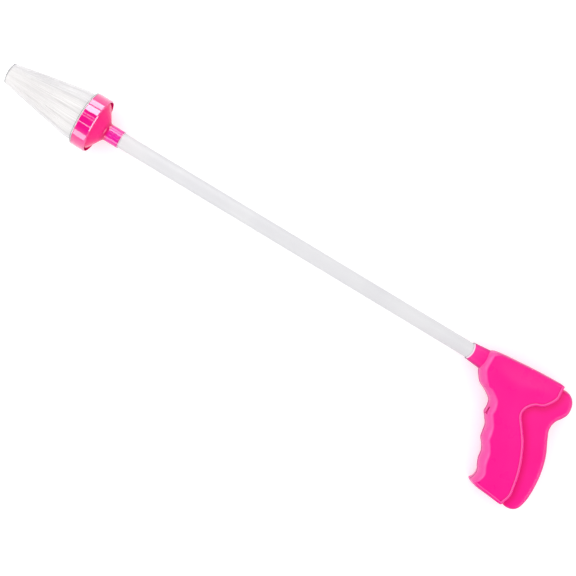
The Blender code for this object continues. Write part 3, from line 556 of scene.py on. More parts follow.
@dataclass(frozen=True)
class Slab:
    """A moulding drawn in side view, with rounded edges and cheeks that swell a little."""

    first: Sequence[ShareRow]  # the share rows of its first smooth run
    second: Sequence[ShareRow]  # the share rows of its second run
    half_thickness: float  # from its middle to the highest point of a cheek
    crown: float = 0.0007  # how much lower a cheek is at its edge
    swell: float = 0.022  # how far in from its edge a cheek reaches full height
    steps: int = 5  # how finely its outline is cut
    grid: float = 0.003  # the spacing of the points inside a cheek
    thin_edge: float = 0.0024  # how far down a thin lip's edge is rounded
    # The rounding shares at which an edge begins to be tall, and is fully so
    edge_spread: Pair = (0.26, 0.45)
    # The (inset, depth) of each ring of the groove that runs along a thin lip
    groove: tuple[Pair, ...] = ()
    # How strong the painted highlight is on the lip's crest and on each ring of the groove
    highlight_strengths: tuple[float, ...] = (0.5, 1.0, 0.4)
    clearance: float = 0.6  # how far inner points keep from the edge, as a share of their spacing

    @property
    def rim(self) -> float:
        """The height of a cheek's edge over the middle."""
        return self.half_thickness - self.crown

    def tall(self, share: float) -> float:
        """Find how far down from its cheek an edge is rounded: all the way, but not on a thin lip.

        Args:
            share: the edge's rounding share.

        Returns:
            The depth.
        """
        start, full = self.edge_spread
        tallness = eased((share - start) / (full - start))
        return self.thin_edge + (self.rim - self.thin_edge) * tallness

    def ring(self, degrees: float, inset: float = 0.0, dip: float = 0.0) -> list[Point]:
        """One ring of the skin.

        Args:
            degrees: its angle in the edge's quarter ellipse.
            inset: how much further in it lies.
            dip: how much lower it lies along a thin lip.

        Returns:
            Its points.
        """
        height = self.rim * math.sin(math.radians(degrees))

        def depth(share: float) -> float:
            """How far in the edge is at this height.

            Args:
                share: the edge's rounding share.

            Returns:
                The depth.
            """
            tall = self.tall(share)
            over = min(max(0.0, abs(height) - (self.rim - tall)) / tall, 1.0)
            return inset + share * SIZES.edge_rounding * (1 - math.sqrt(1 - over * over))

        points = []
        for x, y, share in side_view(self.first, self.second, depth, self.steps):
            points.append((x, y, height - math.copysign(dip * self.thinness(share), degrees)))
        return points

    def thinness(self, share: float) -> float:
        """1 on a thin lip, and 0 where the edge is rounded all the way."""
        return 1 - (self.tall(share) - self.thin_edge) / (self.rim - self.thin_edge)

    def mark_highlight(self, shape: Shape, first: int) -> None:
        """Mark how strong the painted highlight on the lip's crest is, on the points of its rings.

        Args:
            shape: the skin.
            first: the crest's first ring.
        """
        lip_highlight = shape.verts.layers.float.new(HIGHLIGHT_ATTRIBUTE)
        drawn = side_view(self.first, self.second, lambda share: 0.0, self.steps)
        for ring, strength in enumerate(self.highlight_strengths, start=first):
            for i, (_, _, share) in enumerate(drawn):
                shape.verts[ring * len(drawn) + i][lip_highlight] = strength * self.thinness(share)

    def skin(self, angles: Sequence[float]) -> Shape:
        """Draw the moulding.

        Args:
            angles: the angle of each ring, from one face to the other; a ring at 90 or -90 degrees
                carries a cheek, and any other ring at an end is closed by a flat face.

        Returns:
            The closed shape.
        """
        rings = [self.ring(degrees) for degrees in angles]
        if abs(angles[0]) == 90:
            rings = [self.ring(angles[0], *step) for step in reversed(self.groove)] + rings
        if abs(angles[-1]) == 90:
            rings += [self.ring(angles[-1], *step) for step in self.groove]
        shape = stacked(rings, capped=False)
        shape.verts.ensure_lookup_table()
        # Mark the painted highlight on the crest of the groove along a thin lip
        if self.groove:
            self.mark_highlight(shape, len(angles) - 1)
        count = len(rings[0])
        for degrees, start in ((angles[0], 0), (angles[-1], len(shape.verts) - count)):
            rim = list(shape.verts)[start : start + count]
            if abs(degrees) == 90:
                self.add_cheek(shape, rim, math.copysign(1, degrees))
            else:
                shape.faces.new(rim)
        return finished(shape)

    def add_cheek(self, shape: Shape, rim: Sequence[bmesh.types.BMVert], side: float) -> None:
        """Close one end of the skin with a cheek.

        Args:
            shape: the skin.
            rim: the points of its last ring.
            side: +1 for the upper cheek and -1 for the lower one.
        """
        outline = [vert.co.xy for vert in rim]
        low = [min(point[i] for point in outline) for i in (0, 1)]
        high = [max(point[i] for point in outline) for i in (0, 1)]
        inner = []
        for column in range(int((high[0] - low[0]) / self.grid)):
            for row in range(int((high[1] - low[1]) / self.grid)):
                shift = self.grid * 0.5 * (row % 2)
                point = Vector((low[0] + column * self.grid + shift, low[1] + row * self.grid))
                if distance_to(outline, point) > self.grid * self.clearance:
                    inner.append(point)
        count = len(outline)
        points, _, faces, sources, _, _ = delaunay_2d_cdt(
            [*outline, *inner], [], [list(range(count))], 1, SIZES.fit / 100
        )
        verts: dict[int, bmesh.types.BMVert] = {}
        for face in faces:
            for i in face:
                if i in verts:
                    continue
                known = [source for source in sources[i] if source < count]
                if known:
                    verts[i] = rim[known[0]]
                    continue
                share = distance_to(outline, points[i]) / self.swell
                height = self.rim + self.crown * eased(share)
                verts[i] = shape.verts.new((*points[i], side * height))
            shape.faces.new([verts[i] for i in face])


@dataclass
class Tree:
    """Places and links nodes in one shader tree."""

    tree: bpy.types.NodeTree

    def feed(self, node: bpy.types.Node, inputs: Mapping) -> None:
        """Fill a node's inputs.

        Args:
            node: the node.
            inputs: what goes into them, by name or number: a socket, which is linked, or a value.
        """
        for key, value in inputs.items():
            if isinstance(value, Socket):
                self.tree.links.new(value, node.inputs[key])
            else:
                node.inputs[key].default_value = value

    def add(self, kind: str, inputs: Mapping | None = None, **settings: object) -> bpy.types.Node:
        """Add one node.

        Args:
            kind: the node's type, without the word ShaderNode in front.
            inputs: what goes into its inputs.
            **settings: the node's own settings.

        Returns:
            The node.
        """
        node = self.tree.nodes.new(f"ShaderNode{kind}")
        for name, value in settings.items():
            setattr(node, name, value)
        self.feed(node, inputs or {})
        return node

    def effect(self, group: bpy.types.NodeTree, inputs: Mapping) -> Socket:
        """What a shared effect makes of its inputs."""
        return self.add("Group", inputs, node_tree=group).outputs[0]

    def noise(self, vector: Socket, scale: Value, detail: float = 2.0) -> Socket:
        """A noise of the given scale, from 0 to 1."""
        return self.add("TexNoise", {"Vector": vector, "Scale": scale, "Detail": detail}).outputs[0]

    def ranged(
        self, value: Value, low: float, high: float, to_low: float = 0.0, to_high: float = 1.0
    ) -> Socket:
        """A value moved smoothly from one range to another, and held in it."""
        inputs = {0: value, 1: low, 2: high, 3: to_low, 4: to_high}
        return self.add("MapRange", inputs, interpolation_type="SMOOTHSTEP").outputs[0]

    def maths(self, operation: str, first: Value, second: Value = 0.5) -> Socket:
        """One sum of two values."""
        return self.add("Math", {0: first, 1: second}, operation=operation).outputs[0]

    def product(self, first: Value, second: Value) -> Socket:
        """One value times another."""
        return self.maths("MULTIPLY", first, second)

    def mixed(self, share: Value, first: Socket, second: Socket | Colour) -> Socket:
        """A colour between two others."""
        other = (*second, 1.0) if isinstance(second, tuple) else second
        return self.add("Mix", {0: share, 6: first, 7: other}, data_type="RGBA").outputs[2]

    def stretched(self, vector: Socket, scale: Point) -> Socket:
        """Coordinates scaled differently along each axis."""
        return self.add("VectorMath", {0: vector, 1: scale}, operation="MULTIPLY").outputs[0]

    def split(self, vector: Socket) -> Mapping[str, Socket]:
        """The X, Y and Z of a vector."""
        return self.add("SeparateXYZ", {0: vector}).outputs


FLOAT = "NodeSocketFloat"
VECTOR = "NodeSocketVector"
COLOUR = "NodeSocketColor"


class GroupTree(Tree):
    """The tree of a shader node group.

    Args:
        name: the group's name.
        **inputs: the socket type of each input.
    """

    def __init__(self, name: str, **inputs: str) -> None:
        """Start the group with its inputs."""
        super().__init__(bpy.data.node_groups.new(name, "ShaderNodeTree"))
        for socket, kind in inputs.items():
            self.tree.interface.new_socket(socket, in_out="INPUT", socket_type=kind)
        node = self.tree.nodes.new("NodeGroupInput")
        self.given = [node.outputs[socket] for socket in inputs]

    def ended(self, name: str, kind: str, value: Socket) -> bpy.types.NodeTree:
        """End the group.

        Args:
            name: the name of its output.
            kind: the output's socket type.
            value: what it puts out.

        Returns:
            The group.
        """
        self.tree.interface.new_socket(name, in_out="OUTPUT", socket_type=kind)
        self.feed(self.tree.nodes.new("NodeGroupOutput"), {name: value})
        return self.tree


class Effects:
    """The surface effects that several finishes share, each a node group that is built once."""

    peel_scale: float = 0.13
    tone_band: Pair = (0.3, 0.7)
    smudge_scale: float = 60.0
    smudge_band: Pair = (0.35, 0.65)
    scuff_scale: float = 180.0
    scuff_stretch: Point = (1.0, 14.0, 9.0)
    scuff_band: Pair = (0.66, 0.74)
    speck_scale: float = 900.0
    speck_band: Pair = (0.62, 0.78)
    dust_colour: Colour = (0.9, 0.88, 0.86)

    @cached_property
    def grain(self) -> bpy.types.NodeTree:
        """Fine relief left by the mould: pits over a softer orange peel.

        Returns:
            The group.
        """
        group = GroupTree("Mould grain", Vector=VECTOR, Scale=FLOAT, Peel=FLOAT)
        vector, scale, peel = group.given
        fine = group.noise(vector, scale, 3.0)
        wide = group.noise(vector, group.product(scale, self.peel_scale), 1.0)
        return group.ended("Height", FLOAT, group.maths("ADD", fine, group.product(wide, peel)))

    @cached_property
    def drift(self) -> bpy.types.NodeTree:
        """Slow drift of a colour over the surface, between a deep and a light tone.

        Returns:
            The group.
        """
        group = GroupTree("Tone drift", Vector=VECTOR, Scale=FLOAT, Deep=COLOUR, Light=COLOUR)
        vector, scale, deep, light = group.given
        share = group.ranged(group.noise(vector, scale), *self.tone_band)
        return group.ended("Color", COLOUR, group.mixed(share, deep, light))

    @cached_property
    def wear(self) -> bpy.types.NodeTree:
        """Handling marks: soft smudges and a few hair-fine scuffs, as roughness.

        Returns:
            The group.
        """
        group = GroupTree("Handling wear", Vector=VECTOR, Smooth=FLOAT, Rough=FLOAT, Scuffs=FLOAT)
        vector, smooth, rough, scuffs = group.given
        smudge = group.ranged(group.noise(vector, self.smudge_scale, 4.0), *self.smudge_band)
        lines = group.noise(group.stretched(vector, self.scuff_stretch), self.scuff_scale, 5.0)
        scuff = group.product(group.ranged(lines, *self.scuff_band), scuffs)
        span = group.maths("SUBTRACT", rough, smooth)
        base = group.maths("ADD", smooth, group.product(smudge, span))
        return group.ended("Roughness", FLOAT, group.maths("ADD", base, scuff))

    @cached_property
    def dust(self) -> bpy.types.NodeTree:
        """A trace of pale dust, in fine specks.

        Returns:
            The group.
        """
        group = GroupTree("Dust", Vector=VECTOR, Color=COLOUR, Amount=FLOAT)
        vector, colour, amount = group.given
        specks = group.ranged(group.noise(vector, self.speck_scale, 6.0), *self.speck_band)
        share = group.product(specks, amount)
        return group.ended("Color", COLOUR, group.mixed(share, colour, self.dust_colour))


EFFECTS = Effects()


@dataclass(frozen=True)
class Finish:
    """A moulded or drawn surface: its colours, gloss and fine relief."""

    name: str
    deep: Colour  # the darker tone of its colour
    light: Colour  # the lighter tone
    smooth: float  # the least roughness
    rough: float  # the most roughness
    scuffs: float = 0.06  # how strongly scuffs roughen it
    grain_scale: float = 1500.0  # how fine its relief is
    relief: float = 0.00002  # how high its relief is
    peel: float = 0.5  # the share of slow waviness in the relief
    drift_scale: float = 22.0  # how slowly its colour drifts
    metallic: float = 0.0
    specular: float = 0.5  # the level of its plain reflection
    coat: float = 0.0  # the weight of its clear coat
    coat_roughness: float = 0.05
    dust: float = 0.02  # how much dust lies on it
    grain_stretch: Point = (1.0, 1.0, 1.0)  # how the relief is drawn out along each axis
    drift_stretch: Point = (1.0, 1.0, 1.0)  # how the colour's drift is drawn out along each axis

    def build(self) -> bpy.types.Material:
        """Make the material.

        Returns:
            The material, ready to be assigned.
        """
        made = bpy.data.materials.new(self.name)
        made.use_nodes = True
        tree = Tree(made.node_tree)
        shader = made.node_tree.nodes["Principled BSDF"]
        vector = tree.add("TexCoord").outputs["Object"]
        tone = tree.effect(EFFECTS.drift, {
            "Vector": self.drifting(tree, vector), "Scale": self.drift_scale,
            "Deep": (*self.deep, 1.0), "Light": (*self.light, 1.0),
        })
        roughness = tree.effect(EFFECTS.wear, {
            "Vector": vector, "Smooth": self.smooth, "Rough": self.rough, "Scuffs": self.scuffs,
        })
        colour = self.coloured(tree, vector, tone)
        height = tree.effect(EFFECTS.grain, {
            "Vector": tree.stretched(vector, self.grain_stretch),
            "Scale": self.grain_scale, "Peel": self.peel,
        })
        bump = tree.add("Bump", {"Height": height, "Distance": self.relief})
        tree.feed(shader, {
            "Base Color": tree.effect(EFFECTS.dust, {
                "Vector": vector, "Color": colour, "Amount": self.dust,
            }),
            "Roughness": roughness,
            "Normal": bump.outputs["Normal"],
            "Metallic": self.metallic,
            "Specular IOR Level": self.specular,
            "Coat Weight": self.coat,
            "Coat Roughness": self.coat_roughness,
        })
        self.dress(tree, shader, vector)
        return made

    def drifting(self, tree: Tree, vector: Socket) -> Socket:
        """The coordinates along which the colour drifts."""
        return tree.stretched(vector, self.drift_stretch)

    def coloured(self, tree: Tree, vector: Socket, colour: Socket) -> Socket:
        """The finish's colour after what is special to it; a plain finish adds nothing."""
        return colour

    def dress(self, tree: Tree, shader: bpy.types.Node, vector: Socket) -> None:
        """Set what is special to the finish on its shader; a plain finish sets nothing."""


@dataclass(frozen=True)
class SeamedMoulding(Finish):
    """A moulding with painted shade along its parting plane and a painted sheen in front, and more
    painted shade and highlights at its edges, lip and mouth.
    """

    seam_shade_colour: Colour = (0.25, 0.006, 0.08)  # the colour of the painted shade along the parting plane
    seam_width: float = 0.0026  # how far from the parting plane the shade reaches
    seam_share: float = 0.7  # how strong the shade is
    painted_sheen_colour: Colour = (1.0, 0.105, 0.44)  # the painted sheen on the finger side
    painted_sheen_share: float = 0.9  # how strong that colour is
    collar_mouth_highlight: Colour = (1.0, 0.74, 0.90)  # the painted highlight along the collar's mouth
    rim_x: float = -0.0004  # where that rim begins
    rim_curve: float = 0.0018 / 0.0089**2  # how strongly the mouth is drawn back with height
    # The painted shade where the mouth meets the parting plane
    corner_shade_colour: Colour = (0.02, 0.002, 0.01)
    corner_x: float = -0.0028  # where the corner's shade begins
    corner_width: float = 0.0052  # how far from the parting plane it reaches
    edge_shade_colour: Colour = (0.50, 0.006, 0.19)  # the painted shade on the rounded edges
    # How far up its surface faces where that begins, is fullest and ends
    edge_facing: Point = (0.04, 0.36, 0.80)
    edge_share: float = 0.6  # how strong that colour is
    sheen_facing: float = 0.55  # how far forward a surface faces where the painted sheen is full
    crest_highlight_colour: Colour = (1.0, 0.15, 0.50)  # the painted highlight on the lip's crest
    shaded_colour: Colour = (0.88, 0.001, 0.18)  # the painted shade beside the lip

    def coloured(self, tree: Tree, vector: Socket, colour: Socket) -> Socket:
        """Paint shade on the edges, beside the lip, along the seam and at the mouth's corners, a
        sheen on the finger side, and highlights on the lip and the collar's mouth.

        Args:
            tree: the material's tree.
            vector: the piece's own coordinates.
            colour: the colour so far.

        Returns:
            The painted colour.
        """
        place = tree.split(vector)
        high = tree.maths("ABSOLUTE", place["Z"])
        # A painted highlight along the collar's mouth, which is drawn back with height
        drawn_back = tree.product(tree.product(high, high), self.rim_curve)
        ahead = tree.maths("ADD", place["X"], drawn_back)
        rim = tree.ranged(ahead, self.rim_x - SIZES.fit, self.rim_x + SIZES.fit)
        # Painted shade on the rounded edges, by how far up they face
        facing = tree.split(tree.add("TexCoord").outputs["Normal"])
        begins, fullest, ends = self.edge_facing
        upright = tree.maths("ABSOLUTE", facing["Z"])
        rising = tree.ranged(upright, begins, fullest)
        falling = tree.ranged(upright, fullest, ends, self.edge_share, 0.0)
        rounded = tree.mixed(tree.product(rising, falling), colour, self.edge_shade_colour)
        # A painted sheen on the surfaces that face forward, on the finger side
        sheen_mask = tree.ranged(facing["X"], 0.0, self.sheen_facing, 0.0, self.painted_sheen_share)
        plain = tree.mixed(sheen_mask, rounded, self.painted_sheen_colour)
        # A painted highlight on the rear lip's crest
        lip_highlight = tree.add("Attribute", attribute_name=HIGHLIGHT_ATTRIBUTE).outputs["Fac"]
        # A painted shade beside the rear lip, marked on the lever's points
        shaded = tree.add("Attribute", attribute_name=SHADED).outputs["Fac"]
        deep = tree.mixed(shaded, plain, self.shaded_colour)
        held = tree.mixed(lip_highlight, deep, self.crest_highlight_colour)
        paled = tree.mixed(rim, held, self.collar_mouth_highlight)
        # Painted shade along the parting plane
        near = tree.ranged(high, 0.0, self.seam_width, self.seam_share, 0.0)
        seam_shaded = tree.mixed(near, paled, self.seam_shade_colour)
        # Painted shade where the collar's mouth meets the parting plane
        corner = tree.ranged(place["X"], self.corner_x, self.corner_x + 4 * SIZES.fit)
        beside = tree.ranged(high, 0.0, self.corner_width, 1.0, 0.0)
        return tree.mixed(tree.product(corner, beside), seam_shaded, self.corner_shade_colour)


@dataclass(frozen=True)
class NeckedMoulding(Finish):
    """The funnel's moulding: glossier on its neck, with a painted sheen on the neck, painted shade
    where the neck grows out of the cone and behind its mouth, and a painted highlight on the mouth.
    """

    cone_coat: float = 0.1  # the weight of the clear coat on the cone
    coat_fade: float = 0.002  # how far to each side of the root the coat changes
    root_shade_colour: Colour = (0.74, 0.002, 0.13)  # the painted shade at the neck's root
    root_reach: float = 0.0034  # how far from the root that colour reaches
    root_share: float = 0.85  # how strong it is
    root_shift: float = 0.0003  # how far behind the root it is strongest
    neck_sheen_colour: Colour = (0.90, 0.010, 0.38)  # a cooler colour that paints the neck's sheen
    # How far behind the root that colour begins to fade, and is gone
    neck_fade: Pair = (0.004, 0.001)
    neck_mouth_shade: Colour = (0.50, 0.003, 0.15)  # the painted shade just behind the neck's mouth
    # How far from the mouth that colour begins to fade, and is gone
    mouth_fade: Pair = (0.0010, 0.0018)
    mouth_share: float = 0.75  # how strong it is
    neck_mouth_highlight: Colour = (1.0, 0.42, 0.66)  # the painted highlight on the mouth itself
    # How far from the mouth that colour begins to fade, and is gone
    lip_fade: Pair = (0.0004, 0.0008)

    def coloured(self, tree: Tree, vector: Socket, colour: Socket) -> Socket:
        """Paint shade at the root and behind the mouth, a highlight on the mouth, and the neck's
        sheen as a cooler colour.

        Args:
            tree: the material's tree.
            vector: the piece's own coordinates.
            colour: the colour so far.

        Returns:
            The painted colour.
        """
        along = tree.split(vector)["X"]
        root = SIZES.funnel_x
        # Painted shade at the neck's root
        from_root = tree.maths("ABSOLUTE", tree.maths("SUBTRACT", along, root - self.root_shift))
        # A painted sheen on the neck, as a cooler colour
        on_neck = tree.ranged(along, *(root - fade for fade in self.neck_fade), 1.0, 0.0)
        necked = tree.mixed(on_neck, colour, self.neck_sheen_colour)
        near_root = tree.ranged(from_root, 0.0, self.root_reach, self.root_share, 0.0)
        rooted = tree.mixed(near_root, necked, self.root_shade_colour)
        mouth = SIZES.tube_showing
        # Painted shade just behind the neck's mouth
        fades = (mouth + fade for fade in self.mouth_fade)
        behind = tree.ranged(along, *fades, self.mouth_share, 0.0)
        ringed = tree.mixed(behind, rooted, self.neck_mouth_shade)
        # A painted highlight on the neck's mouth itself
        lip = tree.ranged(along, *(mouth + fade for fade in self.lip_fade), 1.0, 0.0)
        return tree.mixed(lip, ringed, self.neck_mouth_highlight)

    def dress(self, tree: Tree, shader: bpy.types.Node, vector: Socket) -> None:
        """Let the clear coat thin out on the cone.

        Args:
            tree: the material's tree.
            shader: the material's shader.
            vector: the piece's own coordinates.
        """
        low, high = SIZES.funnel_x - self.coat_fade, SIZES.funnel_x + self.coat_fade
        weight = tree.ranged(tree.split(vector)["X"], low, high, self.coat, self.cone_coat)
        tree.feed(shader, {"Coat Weight": weight})


@dataclass(frozen=True)
class ClearStrand(Finish):
    """Clear drawn filament: see-through, streaked, and darker at its cut tip."""

    alpha: float = 0.5  # how much of it shows
    glow: float = 0.0  # how brightly it glows in its own colour, a painted light that lifts the strands out of their own shade
    tip_colour: Colour = (0.28, 0.28, 0.30)  # the colour of the cut ends
    tip_x: float = 0.0876  # where the cut ends begin, from the strand's base
    tip_length: float = 0.0009  # how long the change takes

    def drifting(self, tree: Tree, vector: Socket) -> Socket:
        """Coordinates that hardly change along a strand, so that its tone runs its length.

        Args:
            tree: the material's tree.
            vector: the piece's own coordinates.

        Returns:
            The coordinates.
        """
        place = tree.split(vector)
        out = tree.maths("ADD", place["Y"], SIZES.hinge_place)
        turn = tree.maths("ARCTAN2", place["Z"], out)
        along = tree.product(place["X"], self.drift_stretch[0])
        across = tree.product(turn, self.drift_stretch[1])
        return tree.add("CombineXYZ", {0: along, 1: across}).outputs[0]

    def coloured(self, tree: Tree, vector: Socket, colour: Socket) -> Socket:
        """Darken the colour at the cut ends.

        Args:
            tree: the material's tree.
            vector: the piece's own coordinates.
            colour: the colour so far.

        Returns:
            The painted colour.
        """
        place = tree.split(vector)
        rows = (SIZES.hinge_place * (share - 1) for share in SIZES.tip_row_shares)
        out = tree.ranged(place["Y"], *rows)
        shorter = tree.product(tree.product(out, out), SIZES.tip_dome)
        along = tree.maths("ADD", place["X"], shorter)
        at_tip = tree.ranged(along, self.tip_x, self.tip_x + self.tip_length)
        return tree.mixed(at_tip, colour, self.tip_colour)

    def dress(self, tree: Tree, shader: bpy.types.Node, vector: Socket) -> None:
        """Let the surface show what is behind it, and glow in its own colour as painted light.

        Args:
            tree: the material's tree.
            shader: the material's shader.
            vector: the piece's own coordinates; not used.
        """
        base = shader.inputs["Base Color"].links[0].from_socket
        # The strands glow in their own colour: painted light that lifts them out of their own shade
        tree.feed(shader, {
            "Alpha": self.alpha, "Emission Strength": self.glow, "Emission Color": base,
        })


@dataclass(frozen=True)
class ClearMoulding(Finish):
    """Clear plastic that light passes through."""

    transmission: float = 0.35  # the share of light that passes
    ior: float = 1.49
    front_dark_reflection: Colour = (0.03, 0.03, 0.035)  # the painted dark reflection along its front edge
    rim_width: float = 0.0012  # how wide that edge is
    front_x: float = SIZES.ring_front_x + 0.0010  # where that colour begins
    front_length: float = 0.0002  # how long the change takes

    def coloured(self, tree: Tree, vector: Socket, colour: Socket) -> Socket:
        """Paint a dark reflection at the outer corner of the front edge.

        Args:
            tree: the material's tree.
            vector: the piece's own coordinates.
            colour: the colour so far.

        Returns:
            The painted colour.
        """
        place = tree.split(vector)
        # A painted dark reflection at the outer corner of the front edge
        ahead = tree.ranged(place["X"], self.front_x, self.front_x + self.front_length)
        square = tree.maths(
            "ADD", tree.product(place["Y"], place["Y"]), tree.product(place["Z"], place["Z"])
        )
        edge = SIZES.ring_radius
        out = tree.maths("SQRT", square)
        outer = tree.ranged(out, edge - self.rim_width, edge - self.rim_width / 2)
        return tree.mixed(tree.product(ahead, outer), colour, self.front_dark_reflection)

    def dress(self, tree: Tree, shader: bpy.types.Node, vector: Socket) -> None:
        """Let light through."""
        tree.feed(shader, {"Transmission Weight": self.transmission, "IOR": self.ior})


FINISHES: dict[str, Finish] = {
    "shell": SeamedMoulding(
        "Satin hot pink shell", (1.0, 0.005, 0.285), (1.0, 0.007, 0.300), 0.27, 0.30,
        specular=0.12, relief=0.000006, dust=0.004,
    ),
    "lever": SeamedMoulding(
        "Satin hot pink lever", (1.0, 0.005, 0.270), (1.0, 0.007, 0.285), 0.28, 0.31,
        specular=0.12, relief=0.000006, dust=0.004, seam_width=0.0024, painted_sheen_share=0.0,
    ),
    "funnel": NeckedMoulding(
        "Glossy hot pink funnel", (0.98, 0.004, 0.20), (1.0, 0.010, 0.235), 0.14, 0.20,
        scuffs=0.03, specular=0.12, relief=0.000003, coat=0.75, coat_roughness=0.04, dust=0.0,
    ),
    "ring": Finish(
        "Polished hot pink ring", (0.90, 0.004, 0.26), (0.98, 0.010, 0.31), 0.04, 0.07,
        scuffs=0.02, relief=0.0000004, peel=0.5, coat=1.0, coat_roughness=0.02, dust=0.0,
    ),
    "tube": Finish(
        "White extrusion", (0.745, 0.74, 0.765), (0.79, 0.785, 0.80), 0.34, 0.42,
        specular=0.15, relief=0.000004, grain_stretch=(0.02, 1.0, 1.0), dust=0.01,
    ),
    "inner": Finish(
        "White moulding", (0.76, 0.76, 0.78), (0.84, 0.84, 0.86), 0.36, 0.46, relief=0.00001,
    ),
    "backing": ClearStrand(
        "Clear backing", (0.80, 0.80, 0.82), (0.90, 0.90, 0.92), 0.30, 0.42,
        alpha=0.85, glow=0.1, tip_x=1.0, grain_scale=2500.0,
    ),
    "strand": ClearStrand(
        "Clear filament", (0.74, 0.72, 0.725), (0.96, 0.955, 0.95), 0.25, 0.40,
        specular=0.2, alpha=0.44, glow=0.20, drift_scale=420.0, dust=0.0,
        grain_stretch=(0.05, 1.0, 1.0), drift_stretch=(0.03, 0.055, 0.0),
    ),
    "dim_strand": ClearStrand(
        "Clear filament in shade", (0.71, 0.70, 0.71), (0.93, 0.92, 0.925), 0.25, 0.40,
        specular=0.2, alpha=0.46, glow=0.19, drift_scale=420.0, dust=0.0,
        grain_stretch=(0.05, 1.0, 1.0), drift_stretch=(0.03, 0.055, 0.0),
    ),
    "retainer": ClearMoulding(
        "Clear moulding", (0.93, 0.94, 0.95), (0.97, 0.975, 0.98), 0.05, 0.10,
        scuffs=0.02, relief=0.000003, dust=0.0,
    ),
    "screw": Finish(
        "Zinc plated steel", (0.50, 0.51, 0.53), (0.68, 0.69, 0.71), 0.24, 0.38,
        metallic=1.0, drift_scale=260.0, grain_scale=4000.0, relief=0.00001,
    ),
    "wire": Finish(
        "Drawn spring wire", (0.42, 0.43, 0.45), (0.60, 0.61, 0.63), 0.22, 0.34,
        metallic=1.0, drift_scale=180.0, grain_scale=5000.0, relief=0.000008,
    ),
}


@cache
def material(finish: str) -> bpy.types.Material:
    """The material of a finish, built when it is first asked for."""
    return FINISHES[finish].build()


@dataclass
class Bench:
    """Turns meshes into pieces that ride on the frame."""

    sharp_above: float = 42.0  # the angle in degrees above which an edge stays sharp

    def fit(
        self,
        name: str,
        mesh: Mesh | Shape,
        finish: str,
        slot: Slot,
        nodes: Sequence[str],
        body: str = Body.BODY.value,
        place: Matrix | None = None,
    ) -> bpy.types.Object:
        """Put a mesh into the scene as one piece.

        Args:
            name: the piece's name.
            mesh: its mesh, in the tool's frame or in that of place.
            finish: the name of its finish.
            slot: the record's slot for the piece; not used.
            nodes: the CAD nodes that it stands for.
            body: the body that it rides on.
            place: where the mesh's own frame lies in the tool's.

        Returns:
            The piece.
        """
        if isinstance(mesh, Shape):
            mesh = gathered([mesh])
        mesh.name = name
        mesh.materials.clear()
        mesh.materials.append(material(finish))
        mesh.shade_smooth()
        mesh.set_sharp_from_angle(angle=math.radians(self.sharp_above))
        piece = placed(name, mesh)
        piece.matrix_world = TOOL @ (place or Matrix())
        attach(piece, body)
        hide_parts(*nodes)
        log.info("%s: %d points, rides on %s", name, len(mesh.vertices), body)
        return piece


